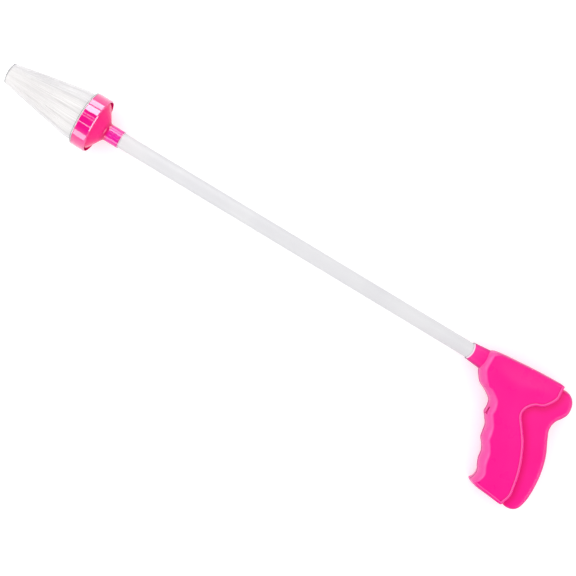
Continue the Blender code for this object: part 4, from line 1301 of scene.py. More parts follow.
@dataclass
class GripShells:
    """The two halves of the grip, with the collar that the tube slides into."""

    bench: Bench
    parting_gap: float = 0.0003  # the gap between the halves
    collar_flare: float = 0.0023  # how much wider the collar is where it meets the grip
    # Where along the collar, and how far, it has begun to flare
    waist_shares: Pair = (0.67, 0.75)
    scallop: float = 0.0018  # how far the collar's mouth is drawn back on the cheeks
    mouth_x: float = 0.0008  # where the collar's mouth is
    boss_wall: float = 0.0012  # the wall round a screw
    rear_mouth_share: float = -1.20  # how far back the hollow is open
    # The slot's place along the depth, the drop and the half thickness
    slot_shares: Point = (-0.434, 0.416, 0.49)
    slot_size: Pair = (0.0076, 0.0024)  # the slot's length and width
    # The slot's well in the wall: its rear and front, and its floor
    slot_well: tuple[float, float, float] = (-0.0445, -0.0436, 0.002)
    # The (inset, depth) of each ring of the groove along the rear lip
    groove: tuple[Pair, ...] = (
        (0.0005, 0.0), (0.0011, 0.0008), (0.0013, 0.0008), (0.0020, 0.0), (0.0024, 0.0),
    )
    edge_angles: tuple[float, ...] = (0, 10, 20, 29, 37, 44, 51, 57, 61, 65, 69, 73, 77, 81, 85, 90)
    hollow_angles: tuple[float, ...] = (-20, 10, 30, 50, 70, 90)
    sides: int = 64

    def build(self) -> None:
        """Make both halves."""
        for cheek in Cheek:
            name = f"grip_shell_{cheek.name.lower()}"
            self.bench.fit(f"{name}_skin", self.half(cheek), "shell", Slot.GRIP, [name])

    def half(self, cheek: Cheek) -> Mesh:
        """Make the mesh of one half.

        Args:
            cheek: which half.

        Returns:
            Its mesh.
        """
        side = cheek.value
        angles = [side * degrees for degrees in self.edge_angles]
        slab = Slab(WALL_SHARES, LIP_SHARES, SIZES.grip_half_thickness, groove=self.groove)
        outer = slab.skin(angles)
        places = [SIZES.side_place(*shares) for shares in SIZES.boss_place_shares]
        bosses = [self.boss(side, at) for at in places]
        holes = [self.bore(), self.pin_hole(), *(self.screw_hole(side, at) for at in places)]
        hollow = hollow_shape(
            WALL_SHARES, LIP_SHARES, self.rear_mouth_share * SIZES.grip_depth, SIZES.grip_wall,
            side * (SIZES.grip_half_thickness - SIZES.grip_wall), self.hollow_angles,
        )
        steps = [
            (Joining.CUT, [hollow]),
            (Joining.ADD, [self.collar(), *bosses]),
            (Joining.CUT, [self.other_half(side)]),
            (Joining.CUT, holes),
        ]
        if cheek is Cheek.UPPER:
            holes.append(self.slot())
            steps.append((Joining.CUT, [self.well()]))
        return carved(outer, steps)

    def collar(self) -> Shape:
        """The cone that grows into the grip, its mouth drawn back on both cheeks.

        Returns:
            The new shape.
        """
        waist_x, waist_flare = self.waist_shares
        length = SIZES.collar_length
        corners = (
            (self.mouth_x, 0, 0), (self.mouth_x, SIZES.socket_outer, 0.0003),
            (-length * waist_x, SIZES.socket_outer + self.collar_flare * waist_flare, 0.002),
            (-length, SIZES.socket_outer + self.collar_flare, 0), (-length, 0, 0),
        )

        def drawn_back(x: float, radius: float, turn: float) -> Pair:
            """A point after the mouth is drawn back."""
            share = max(0.0, 1 + (x - self.mouth_x) / (4 * self.scallop))
            return x - self.scallop * math.sin(turn) ** 2 * share, radius

        return lathed(softened(corners), self.sides, drawn_back)

    def bore(self) -> Shape:
        """The socket for the tube, and the narrower way through its stop for the rod.

        Returns:
            The new shape.
        """
        seat_x = SIZES.collar_stop - SIZES.collar_length
        inner_x = -SIZES.collar_length - SIZES.overrun
        corners = (
            (SIZES.overrun, 0), (SIZES.overrun, SIZES.socket_radius),
            (seat_x, SIZES.socket_radius), (seat_x, SIZES.rod_clear),
            (inner_x, SIZES.rod_clear), (inner_x, 0),
        )
        return lathed(corners, self.sides)

    def boss(self, side: int, at: Vector) -> Shape:
        """The post round one screw.

        Args:
            side: +1 for the upper half, -1 for the lower one.
            at: where the screw is in the side view.

        Returns:
            The new shape.
        """
        radius = SIZES.screw_head_radius + SIZES.fit + self.boss_wall
        inner = side * (SIZES.grip_half_thickness - SIZES.grip_wall / 2)
        return rod_along_z(radius, *sorted((0, inner)), at)

    def other_half(self, side: int) -> Shape:
        """All that this half must not reach: the far side of the parting plane.

        Args:
            side: +1 for the upper half, -1 for the lower one.

        Returns:
            The new shape.
        """
        reach = SIZES.grip_depth + SIZES.grip_drop
        near = side * self.parting_gap / 2
        far = -side * (SIZES.grip_half_thickness + SIZES.overrun)
        return block((-reach, -reach, min(near, far)), (reach, reach, max(near, far)))

    def pin_hole(self) -> Shape:
        """The lever pin's seats in both halves."""
        reach = SIZES.grip_half_thickness - SIZES.grip_wall + SIZES.pin_seat + SIZES.fit
        return rod_along_z(SIZES.pin_radius + SIZES.fit, -reach, reach, SIZES.pivot)

    def screw_hole(self, side: int, at: Vector) -> Shape:
        """A blind pilot hole above, or a clearance hole with a recess for the head below.

        Args:
            side: +1 for the upper half, -1 for the lower one.
            at: where the screw is in the side view.

        Returns:
            The new shape.
        """
        radius = SIZES.screw_shank_radius + SIZES.fit
        if side > 0:
            return rod_along_z(radius, -SIZES.overrun, SIZES.screw_bite + SIZES.fit, at)
        head = SIZES.screw_head_radius + SIZES.fit
        seat = SIZES.screw_recess - SIZES.grip_half_thickness
        bottom = -SIZES.grip_half_thickness - SIZES.overrun
        top = SIZES.overrun
        corners = (
            (bottom, 0), (bottom, head), (seat, head), (seat, radius), (top, radius), (top, 0),
        )
        shape = lathed(corners, self.sides // 2)
        shape.transform(Matrix.Translation((*at, 0)) @ Matrix.Rotation(-math.pi / 2, 4, "Y"))
        return finished(shape)

    def slot(self) -> Shape:
        """The narrow slot through the finger side of the upper half.

        Returns:
            The new shape.
        """
        x_share, y_share, z_share = self.slot_shares
        x, y = SIZES.side_place(x_share, y_share)
        z = z_share * SIZES.grip_half_thickness
        length, width = self.slot_size
        low = (x - 3 * SIZES.overrun, y - length / 2, z - width / 2)
        high = (x + SIZES.overrun, y + length / 2, z + width / 2)
        return block(low, high)

    def well(self) -> Shape:
        """The slot's well, which makes it look as deep as it is.

        Returns:
            The new shape.
        """
        _, y_share, z_share = self.slot_shares
        rear, front, floor = self.slot_well
        y = y_share * SIZES.grip_drop
        half = self.slot_size[0] / 2
        top = z_share * SIZES.grip_half_thickness
        return block((rear, y - half, floor), (front, y + half, top))


@dataclass
class SqueezeLever:
    """The lever under the palm: a channel open to the front, with a push pad and a pivot boss."""

    bench: Bench
    wall: float = 0.002
    shade_reach: float = 0.008  # how far from the rear lip the painted shade reaches
    lip_steps: int = 8  # how finely the lip is followed for that
    pad_thickness: float = 0.004
    pad_half_height_share: float = 0.09  # the pad's half height as a share of the grip's drop
    boss_wall: float = 0.0027  # the wall round the pin
    front_mouth_share: float = -0.55  # how far forward the hollow is open
    edge_angles: tuple[float, ...] = (-90, -75, -60, -45, -30, -15, 0, 15, 30, 45, 60, 75, 90)
    hollow_angles: tuple[float, ...] = (-90, -60, -30, 0, 30, 60, 90)
    half_thickness: float = SIZES.grip_half_thickness - SIZES.grip_wall - SIZES.lever_gap

    def build(self) -> None:
        """Make the lever."""
        outer = Slab(PALM_SHARES, LEVER_FRONT_SHARES, self.half_thickness, crown=0.0004)
        embedded = self.half_thickness - self.wall / 2
        pad_x = SIZES.pad_front_share * SIZES.grip_depth
        pad_y = self.pad_half_height_share * SIZES.grip_drop
        pad = block((pad_x - self.pad_thickness, -pad_y, -embedded), (pad_x, pad_y, embedded))
        pin_radius = SIZES.pin_radius + SIZES.fit
        boss = rod_along_z(pin_radius + self.boss_wall, -embedded, embedded, SIZES.pivot)
        through = self.half_thickness + SIZES.overrun
        bore = rod_along_z(pin_radius, -through, through, SIZES.pivot)
        hollow = hollow_shape(
            PALM_SHARES, LEVER_FRONT_SHARES, self.front_mouth_share * SIZES.grip_depth, self.wall,
            self.half_thickness - self.wall, self.hollow_angles,
        )
        mesh = carved(outer.skin(self.edge_angles), [
            (Joining.CUT, [hollow]), (Joining.ADD, [pad, boss]), (Joining.CUT, [bore]),
        ])
        # Mark the painted shade beside the rear lip
        self.shade(mesh)
        self.bench.fit(
            "squeeze_lever_skin", mesh, "lever", Slot.GRIP, ["squeeze_lever"], Body.LEVER.value
        )

    def shade(self, mesh: Mesh) -> None:
        """Mark how much painted shade each point of the lever takes, by how near it is to the rear
        lip.

        Args:
            mesh: the lever's mesh.
        """
        drawn = side_view(WALL_SHARES, LIP_SHARES, lambda share: 0.0, self.lip_steps)
        corner = (len(WALL_SHARES) - 1) * self.lip_steps
        lip = [point.xy for point in drawn[corner:]]
        marks = mesh.attributes.new(SHADED, "FLOAT", "POINT")
        for vert, mark in zip(mesh.vertices, marks.data):
            mark.value = 1 - eased(distance_to(lip, vert.co.xy) / self.shade_reach)


@dataclass
class ReachTube:
    """The long tube and the guides that centre the rod in it."""

    bench: Bench
    edge: float = 0.0003
    guide_length: float = 0.006  # how long a rod guide is
    guide_shares: tuple[float, ...] = (0.24, 0.52, 0.8)  # where along the tube the guides sit
    guide_lobes: int = 6  # how many ribs a guide has
    rib_depth_share: float = 0.16  # how deep the ribs are cut, as a share of the guide's wall
    sides: int = 96

    def build(self) -> None:
        """Make the tube and its guides."""
        back = SIZES.collar_stop - SIZES.collar_length + SIZES.fit
        front = SIZES.funnel_x - SIZES.neck_stop - SIZES.fit
        corners = (
            (back, SIZES.tube_bore, self.edge), (back, SIZES.tube_radius, self.edge),
            (front, SIZES.tube_radius, self.edge), (front, SIZES.tube_bore, self.edge),
        )
        tube = lathed(softened(corners), self.sides)
        self.bench.fit("reach_tube_skin", tube, "tube", Slot.TUBE, ["reach_tube"])
        for number, share in enumerate(self.guide_shares, start=1):
            name = f"rod_guide_{number:02d}"
            self.bench.fit(f"{name}_skin", self.guide(share), "inner", Slot.INNER, [name])

    def guide(self, share: float) -> Shape:
        """One ribbed guide, at this share of the tube's length.

        Args:
            share: how far along the tube it sits.

        Returns:
            The new shape.
        """
        low = SIZES.tube_showing * share - self.guide_length / 2
        high = low + self.guide_length
        outer = SIZES.tube_bore - SIZES.fit
        corners = (
            (low, SIZES.rod_clear, 0.0002), (low, outer, 0.0005),
            (high, outer, 0.0005), (high, SIZES.rod_clear, 0.0002),
        )

        def ribbed(x: float, radius: float, turn: float) -> Pair:
            """A point after the ribs are cut."""
            depth = max(0.0, radius - SIZES.rod_clear) * self.rib_depth_share
            return x, radius - depth * (1 - math.cos(turn * self.guide_lobes)) / 2

        return lathed(softened(corners), self.sides, ribbed)


@dataclass
class Plunger:
    """What slides: the rod, its tail cap, and the hub that lifts the tufts' inner ends."""

    bench: Bench
    rod_seat: float = 0.0035
    cap_lip: float = 0.0008
    cap_thickness: float = 0.0046
    spigot_length: float = 0.004
    spigot_wall: float = 0.0013
    nose_radius: float = 0.0026
    nose_length: float = 0.003
    wire_radius: float = 0.0005
    boss_wall: float = 0.0016
    boss_length: float = 0.008
    flange_margin: float = 0.0016
    flange_thickness: float = 0.0018
    washer_reach: float = 0.0012
    washer_thickness: float = 0.0014
    screw_bite: float = 0.0042
    screw_head_margin: float = 0.0014
    screw_head_height: float = 0.0018
    edge: float = 0.0003
    sides: int = 48
    # Sizes that follow from the ones above
    nose_x: float = SIZES.pad_front_share * SIZES.grip_depth + SIZES.lever_gap  # at the pad
    cap_front_x: float = nose_x + nose_length + cap_thickness
    spigot_radius: float = SIZES.rod_clear + spigot_wall  # the spigot that the spring sits on
    spring_radius: float = spigot_radius + SIZES.fit + wire_radius
    flange_x: float = SIZES.hinge_x - SIZES.inner_bead_radius - SIZES.fit  # behind the beads
    flange_back_x: float = flange_x - flange_thickness

    def build(self) -> None:
        """Make the sliding pieces."""
        for name, shape, finish, slot in (
            ("push_rod", self.rod(), "inner", Slot.INNER),
            ("rod_tail_cap", self.tail_cap(), "inner", Slot.INNER),
            ("plunger_hub", self.hub(), "inner", Slot.INNER),
            ("hub_washer", self.washer(), "inner", Slot.INNER),
            ("hub_screw", self.screw(), "screw", Slot.FASTENER),
        ):
            self.bench.fit(f"{name}_skin", shape, finish, slot, [name], Body.ROD.value)

    def rod(self) -> Shape:
        """The rod, from its seat in the tail cap to its seat in the hub.

        Returns:
            The new shape.
        """
        back = self.cap_front_x - self.rod_seat + SIZES.fit
        front = self.flange_back_x - SIZES.fit
        radius = SIZES.rod_radius
        corners = (
            (back, 0, 0), (back, radius, self.edge), (front, radius, self.edge), (front, 0, 0),
        )
        return lathed(softened(corners), self.sides)

    def tail_cap(self) -> Shape:
        """The cap on the rod's tail, with its nose, its flange and the spring's spigot.

        Returns:
            The new shape.
        """
        radius = self.spring_radius + self.wire_radius + self.cap_lip
        back = self.nose_x + self.nose_length
        spigot_x = self.cap_front_x + self.spigot_length
        seat_x = self.cap_front_x - self.rod_seat
        corners = (
            (self.nose_x, 0, 0), (self.nose_x, self.nose_radius, 0.0012),
            (back, self.nose_radius, self.edge), (back, radius, 0.0008),
            (self.cap_front_x, radius, self.edge),
            (self.cap_front_x, self.spigot_radius, self.edge),
            (spigot_x, self.spigot_radius, 0.0005), (spigot_x, SIZES.rod_clear, self.edge),
            (seat_x, SIZES.rod_clear, 0), (seat_x, 0, 0),
        )
        return lathed(softened(corners), self.sides)

    def hub(self) -> Shape:
        """The hub on the rod's front end: a boss, a flange behind the beads and a core inside them.

        Returns:
            The new shape.
        """
        boss = SIZES.rod_clear + self.boss_wall
        flange = SIZES.inner_bead_place + SIZES.inner_bead_radius + self.flange_margin
        back = self.flange_back_x - self.boss_length
        core_front = SIZES.washer_x - SIZES.fit
        pilot_x = SIZES.washer_x - self.screw_bite - SIZES.fit
        corners = (
            (back, SIZES.rod_clear, 0), (back, boss, 0.0004),
            (self.flange_back_x, boss, 0.0008), (self.flange_back_x, flange, 0.0005),
            (self.flange_x, flange, 0.0005), (self.flange_x, SIZES.hub_core_radius, 0.0002),
            (core_front, SIZES.hub_core_radius, 0.0002), (core_front, SIZES.hub_screw_clear, 0),
            (pilot_x, SIZES.hub_screw_clear, 0), (pilot_x, 0, 0),
            (self.flange_back_x, 0, 0), (self.flange_back_x, SIZES.rod_clear, 0),
        )
        return lathed(softened(corners), self.sides)

    def washer(self) -> Shape:
        """The washer in front of the beads.

        Returns:
            The new shape.
        """
        front = SIZES.washer_x + self.washer_thickness
        outer = SIZES.inner_bead_place + self.washer_reach
        corners = (
            (SIZES.washer_x, SIZES.hub_screw_clear, 0), (SIZES.washer_x, outer, self.edge),
            (front, outer, 0.0005), (front, SIZES.hub_screw_clear, 0),
        )
        return lathed(softened(corners), self.sides)

    def screw(self) -> Mesh:
        """The screw through the washer into the hub.

        Returns:
            Its mesh.
        """
        head_x = SIZES.washer_x + self.washer_thickness + SIZES.fit
        mesh = Screw(
            head_x - (SIZES.washer_x - self.screw_bite),
            SIZES.screw_shank_radius,
            SIZES.hub_screw_clear + self.screw_head_margin,
            self.screw_head_height,
        ).mesh()
        mesh.transform(Matrix.Translation((head_x, 0, 0)))
        return mesh


@dataclass(frozen=True)
class Screw:
    """A screw with a domed head, a cross recess and ridges on its shank."""

    length: float
    shank: float
    head: float
    height: float
    core_share: float = 0.8  # the shank's radius between its ridges
    pitch_share: float = 0.55  # the ridges' spacing, as a share of the shank's radius
    ridge_share: float = 0.42  # how far a ridge reaches to each side, as a share of their spacing
    point_share: float = 0.6  # the radius of the shank's end, as a share of its core
    brim_share: float = 0.42  # the height of the head's upright brim
    dome_turns: tuple[float, ...] = (0.35, 0.7, 1.05, 1.4)  # the angles of the dome's rings
    dome_power: float = 0.8  # how boxy the dome is; at 1 it is an ellipse
    arm_share: float = 0.62  # how far the recess reaches out in the head
    arm_half_share: float = 0.13  # half the width of its arms
    recess_share: float = 0.55  # how deep it is
    sides: int = 32

    def mesh(self) -> Mesh:
        """Make the screw.

        Returns:
            Its mesh: the head stands on X 0 and points to +X.
        """
        height, head = self.height, self.head
        core = self.shank * self.core_share
        pitch = self.shank * self.pitch_share
        brim = self.brim_share
        outline = [(height, 0.0)]
        for a in self.dome_turns:
            dome_x = height * (brim + (1 - brim) * math.cos(a))
            outline.append((dome_x, head * math.sin(a) ** self.dome_power))
        outline += [(height * brim, head), (0.0, head), (0.0, core)]
        for turn in range(int((self.length - height / 2) / pitch)):
            ridge_x = -height / 2 - pitch * (turn + 0.5)
            reach = pitch * self.ridge_share
            outline += [(ridge_x + reach, core), (ridge_x, self.shank), (ridge_x - reach, core)]
        outline += [(-self.length, core * self.point_share), (-self.length, 0.0)]
        arm = head * self.arm_share
        half = head * self.arm_half_share
        floor = height - height * self.recess_share
        bars = [
            block((floor, -arm, -half), (height * 2, arm, half)),
            block((floor, -half, -arm), (height * 2, half, arm)),
        ]
        return carved(lathed(outline, self.sides), [(Joining.CUT, [bar]) for bar in bars])


@dataclass
class Fasteners:
    """The screws that draw the shells together, and the lever's pin."""

    bench: Bench
    head_height: float = 0.002  # the height of a shell screw's head
    head_turn: float = 0.6  # how much further round each shell screw is turned than the last
    pin_edge: float = 0.0005  # the rounding of the pin's ends
    pin_sides: int = 40

    def build(self) -> None:
        """Make the screws and the pin."""
        seat = SIZES.screw_recess - SIZES.grip_half_thickness - SIZES.fit
        length = SIZES.screw_bite - seat
        radii = (SIZES.screw_shank_radius, SIZES.screw_head_radius)
        for number, shares in enumerate(SIZES.boss_place_shares, start=1):
            name = f"shell_screw_{number:02d}"
            at = SIZES.side_place(*shares)
            place = Matrix.Translation((*at, seat)) @ Matrix.Rotation(math.pi / 2, 4, "Y")
            place = place @ Matrix.Rotation(self.head_turn * number, 4, "X")
            mesh = Screw(length, *radii, self.head_height).mesh()
            self.bench.fit(f"{name}_skin", mesh, "screw", Slot.FASTENER, [name], place=place)
        reach = SIZES.grip_half_thickness - SIZES.grip_wall + SIZES.pin_seat
        radius = SIZES.pin_radius
        corners = (
            (-reach, 0, 0), (-reach, radius, self.pin_edge),
            (reach, radius, self.pin_edge), (reach, 0, 0),
        )
        place = Matrix.Translation((*SIZES.pivot, 0)) @ Matrix.Rotation(math.pi / 2, 4, "Y")
        pin = lathed(softened(corners), self.pin_sides)
        self.bench.fit(
            "lever_pivot_pin_skin", pin, "screw", Slot.FASTENER, ["lever_pivot_pin"], place=place
        )


@dataclass
class ReturnSpring:
    """The coil spring between the tail cap and the collar's stop."""

    bench: Bench
    plunger: Plunger  # the sliding pieces that it seats on
    turns: float = 9.0  # how many turns it has
    closed_turns: float = 1.0  # how many turns at each end lie close together
    closed_pitch_share: float = 1.05  # the pitch of those turns, as a share of the wire's thickness
    stroke: float = 0.009774  # how far the rod presses it
    points_per_turn: int = 28  # how finely a turn is cut
    wire_sides: int = 10  # how many sides the wire has

    def build(self) -> None:
        """Make the spring on a mesh of its own; the real one shortens towards the collar as the rod
        slides.
        """
        back = self.plunger.cap_front_x + SIZES.fit
        front = -SIZES.collar_length - SIZES.fit
        spring = self.bench.fit(
            "return_spring_wire", self.coil(back, front), "wire", Slot.SPRING, ["return_spring"]
        )
        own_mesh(spring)

    def along(self, turn: float) -> float:
        """How far the wire has climbed after so many turns, as a share of the coil.

        Args:
            turn: the turns, from the rear.

        Returns:
            The share.
        """
        wire = 2 * self.plunger.wire_radius
        closed_pitch = wire * self.closed_pitch_share
        length = -SIZES.collar_length - self.plunger.cap_front_x - 2 * SIZES.fit - wire
        free_turns = self.turns - 2 * self.closed_turns
        closed = closed_pitch * self.closed_turns
        if turn < self.closed_turns:
            return closed_pitch * turn / length
        if turn > self.turns - self.closed_turns:
            return 1 - closed_pitch * (self.turns - turn) / length
        return (closed + (length - 2 * closed) * (turn - self.closed_turns) / free_turns) / length

    def coil(self, back: float, front: float) -> Shape:
        """Make the wire.

        Args:
            back: where the coil's rear end is.
            front: where its front end is.

        Returns:
            The closed shape of the wire.
        """
        wire = self.plunger.wire_radius
        radius = self.plunger.spring_radius
        span = front - back - 2 * wire
        rings = []
        for step in range(int(self.turns * self.points_per_turn) + 1):
            turn = step / self.points_per_turn
            angle = math.tau * turn
            out = Vector((0, math.cos(angle), math.sin(angle)))
            centre = out * radius + Vector((back + wire + span * self.along(turn), 0, 0))
            ring = []
            for side in range(self.wire_sides):
                tilt = math.tau * side / self.wire_sides
                around = out * math.cos(tilt) + Vector((math.sin(tilt), 0, 0))
                ring.append(tuple(centre + around * wire))
            rings.append(ring)
        return stacked(rings)


@dataclass
class BristleHead:
    """The funnel on the tube's front end, the ring round it and the clear retainer in front."""

    bench: Bench
    rim_step: float = 0.0023  # how much smaller the funnel is than the ring's bore
    funnel_wall: float = 0.0015  # the cone's wall
    neck_stop_lip: float = 0.0013  # how far the tube's stop reaches in
    neck_fillet: float = 0.0042  # the rounding where the neck grows into the cone
    seat_thickness: float = 0.002  # the flange that carries the tufts
    retainer_thickness: float = 0.0013  # the retainer's flange
    retainer_lip: float = 0.0012  # how far the retainer's skirt reaches in
    edge: float = 0.00035
    ring_edge: float = 0.0009  # the depth of the chamfer along the ring's rear edge
    sides: int = 144

    def build(self) -> None:
        """Make the three pieces."""
        for name, shape, finish, slot in (
            ("head_funnel", self.funnel(), "funnel", Slot.GRIP),
            ("head_ring", self.ring(), "ring", Slot.RING),
            ("bristle_retainer", self.retainer(), "retainer", Slot.RETAINER),
        ):
            self.bench.fit(f"{name}_skin", shape, finish, slot, [name])

    def funnel(self) -> Shape:
        """The neck, the cone and the flange that the tufts sit on.

        Returns:
            The new shape.
        """
        rim_outer = SIZES.ring_bore - SIZES.fit
        rim_inner = SIZES.hinge_place - SIZES.hinge_bead_radius - SIZES.fit
        rim_radius = SIZES.ring_bore - self.rim_step
        rod_way = SIZES.tube_bore - self.neck_stop_lip
        seat_x = SIZES.hinge_x - SIZES.hinge_bead_radius - SIZES.fit
        flange_x = seat_x - self.seat_thickness
        neck_seat_x = SIZES.funnel_x - SIZES.neck_stop
        lean = math.atan2(rim_radius - SIZES.socket_outer, SIZES.funnel_depth)
        skin = Vector((math.sin(lean), -math.cos(lean))) * self.funnel_wall
        corners = (
            (SIZES.tube_showing, SIZES.socket_outer, self.edge),
            (SIZES.funnel_x, SIZES.socket_outer, self.neck_fillet),
            (SIZES.funnel_rim_x, rim_radius, self.edge), (flange_x, rim_radius, 0),
            (flange_x, rim_outer, self.edge), (seat_x, rim_outer, self.edge),
            (seat_x, rim_inner, self.edge), (SIZES.funnel_rim_x + skin.x, rim_inner, 0.001),
            (SIZES.funnel_x + skin.x, SIZES.socket_outer + skin.y, 0.001),
            (SIZES.funnel_x + self.edge, rod_way, self.edge), (neck_seat_x, rod_way, 0),
            (neck_seat_x, SIZES.socket_radius, 0),
            (SIZES.tube_showing, SIZES.socket_radius, 0.0001),
        )
        return lathed(softened(corners, 6), self.sides)

    def ring(self) -> Shape:
        """The polished ring.

        Returns:
            The new shape.
        """
        corners = (
            (SIZES.ring_back_x, SIZES.ring_bore, self.edge),
            (SIZES.ring_back_x, SIZES.ring_radius - self.ring_edge, self.edge / 2),
            (SIZES.ring_back_x + self.ring_edge * 1.1, SIZES.ring_radius, self.edge / 2),
            (SIZES.ring_front_x, SIZES.ring_radius, self.ring_edge / 2),
            (SIZES.ring_front_x, SIZES.ring_bore, self.edge),
        )
        return lathed(softened(corners, 5), self.sides)

    def retainer(self) -> Shape:
        """The flat clear ring, with a skirt behind it that holds the hinge beads down.

        Returns:
            The new shape.
        """
        rim_outer = SIZES.ring_bore - SIZES.fit
        skirt_x = SIZES.hinge_x + SIZES.hinge_bead_radius + SIZES.fit
        flange_x = SIZES.ring_front_x + SIZES.fit
        front_x = flange_x + self.retainer_thickness
        corners = (
            (skirt_x, rim_outer - self.retainer_lip, 0), (skirt_x, rim_outer, 0),
            (flange_x, rim_outer, 0), (flange_x, SIZES.ring_radius - SIZES.fit, self.edge),
            (front_x, SIZES.ring_radius - SIZES.fit, self.edge),
            (front_x, rim_outer - SIZES.fit, self.edge),
        )
        return lathed(softened(corners, 5), self.sides)


@dataclass
class BristleTufts:
    """The ring of tufts, each of fine clear strands on a wedge of backing."""

    bench: Bench
    reach: float = 0.0892
    rows: int = 9  # how many rows of strands a tuft has
    first_row: int = 9  # how many strands are in its inner row
    row_gain: int = 2  # how many more each further row has
    base_radius: float = 0.00026  # a strand's radius at its base
    tip_radius: float = 0.00013  # its radius at the tip
    bow: float = 1.25  # how late the strands lean in; at 1 they are straight
    base_row_share: float = 0.6  # the inner row's distance from the axis, as a share of the hinges'
    jitter: float = 0.3  # how far a strand strays from its place in its row, and from the row
    spread: float = 0.97  # the share of a tuft's sector that its rows fill
    clumps: int = 5  # how many clumps the tips of a tuft form
    clump: float = 0.45  # how far the tips draw together in them
    wander: float = 0.0005  # how far a strand strays sideways
    waves: float = 4.0  # how far round the wave of a stray strand runs, in radians
    shortest: float = 0.0012  # how much shorter a strand can be cut than its neighbours
    bulge: float = 0.0022  # how far the outermost strands swell out ahead of the ring
    bulge_from: float = 0.0036  # where they begin to swell, from their base
    bulge_full: float = 0.012  # where the swelling is complete
    bulge_fade: int = 3  # how fast it fades towards the tip
    backing_thickness: float = 0.0016  # the thickness of a wedge of backing
    plate_edge_share: float = 0.4  # the rounding of its edges, as a share of half its thickness
    bead_edge_share: float = 0.25  # the rounding of a bead's ends, as a share of its radius
    bead_sides: int = 20  # how many sides a bead has
    wedge_gap: float = 0.0004  # the gap between two wedges
    # How far round to the far and to the near side a tuft in shade stands
    dim_beyond: Pair = (-0.65, 0.9)
    stations: tuple[float, ...] = (0.0, 0.04, 0.09, 0.15, 0.28, 0.45, 0.64, 0.84, 1.0)
    strand_sides: int = 4

    def build(self) -> None:
        """Make the twelve tufts."""
        for number in range(SIZES.tufts):
            turn = SIZES.sector * (number + 0.5)
            out = SIZES.hinge_place
            hinge = (SIZES.hinge_x, out * math.cos(turn), out * math.sin(turn))
            place = Matrix.Translation(hinge) @ Matrix.Rotation(turn, 4, "X")
            body = f"tuft_{number + 1:02d}"
            slice_node = f"bristle_{body}"
            arm_node = f"backing_arm_{number + 1:02d}"
            strands = self.strands(random.Random(number + 1))
            for part, shape, finish, nodes in (
                ("strands", strands, self.finish(turn), [slice_node]),
                ("backing", self.backing(), "backing", [slice_node, arm_node]),
            ):
                self.bench.fit(f"{body}_{part}", shape, finish, Slot.BRISTLE, nodes, body, place)

    def finish(self, turn: float) -> str:
        """The finish of the strands at this turn: the far and near sides are in shade."""
        far, near = self.dim_beyond
        return "strand" if far < math.cos(turn) < near else "dim_strand"

    def half_width(self, distance: float) -> float:
        """Half the width that a wedge has, at this distance from the axis."""
        half = SIZES.sector / 2
        return distance * math.tan(half) - self.wedge_gap / 2 / math.cos(half)

    def backing(self) -> Mesh:
        """One wedge of backing, with its rolled outer edge and the bead at its inner end.

        Returns:
            Its mesh.
        """
        half = self.backing_thickness / 2
        inner = SIZES.inner_bead_place
        outer = SIZES.hinge_place
        plan = [
            (inner, -self.half_width(inner)), (inner, self.half_width(inner)),
            (outer, self.half_width(outer)), (outer, -self.half_width(outer)),
        ]
        plate = stacked([[(x, y - outer, z) for y, z in plan] for x in (-half, half)])
        self.rounded(plate, list(plate.edges), half * self.plate_edge_share)
        beads = []
        for radius, distance in (
            (SIZES.hinge_bead_radius, outer), (SIZES.inner_bead_radius, inner),
        ):
            reach = self.half_width(distance - radius)
            at = Vector((0, distance - outer))
            bead = rod_along_z(radius, -reach, reach, at, self.bead_sides)
            ends = []
            for edge in bead.edges:
                if abs(edge.verts[0].co.z - edge.verts[1].co.z) < radius / 10:
                    ends.append(edge)
            self.rounded(bead, ends, radius * self.bead_edge_share)
            beads.append(bead)
        return carved(finished(plate), [(Joining.ADD, [bead]) for bead in beads])

    def rounded(self, shape: Shape, edges: Sequence[bmesh.types.BMEdge], reach: float) -> None:
        """Round some edges of a shape."""
        bmesh.ops.bevel(shape, geom=edges, offset=reach, segments=2, affect="EDGES", profile=0.5)

    def strands(self, chance: random.Random) -> Shape:
        """Make all strands of one tuft.

        Args:
            chance: the seeded source of their small differences.

        Returns:
            The strands, each a closed spike that starts inside the backing.
        """
        shape = bmesh.new()
        bases = (self.base_row_share * SIZES.hinge_place, SIZES.hinge_place - self.base_radius)
        tips = tuple(share * SIZES.hinge_place for share in SIZES.tip_row_shares)
        for row in range(self.rows):
            count = self.first_row + self.row_gain * row
            for place_in_row in range(count):
                out = (row + chance.uniform(-self.jitter, self.jitter)) / (self.rows - 1)
                out = min(max(out, 0.0), 1.0)
                stray = chance.uniform(-self.jitter, self.jitter)
                turn = ((place_in_row + 0.5 + stray) / count - 0.5) * self.spread
                group = round(turn * self.clumps) / self.clumps
                drawn = turn + (group - turn) * self.clump
                self.add_strand(
                    shape, chance, out,
                    (bases[0] + (bases[1] - bases[0]) * out, turn * SIZES.sector),
                    (tips[0] + (tips[1] - tips[0]) * out, drawn * SIZES.sector),
                )
        return finished(shape)

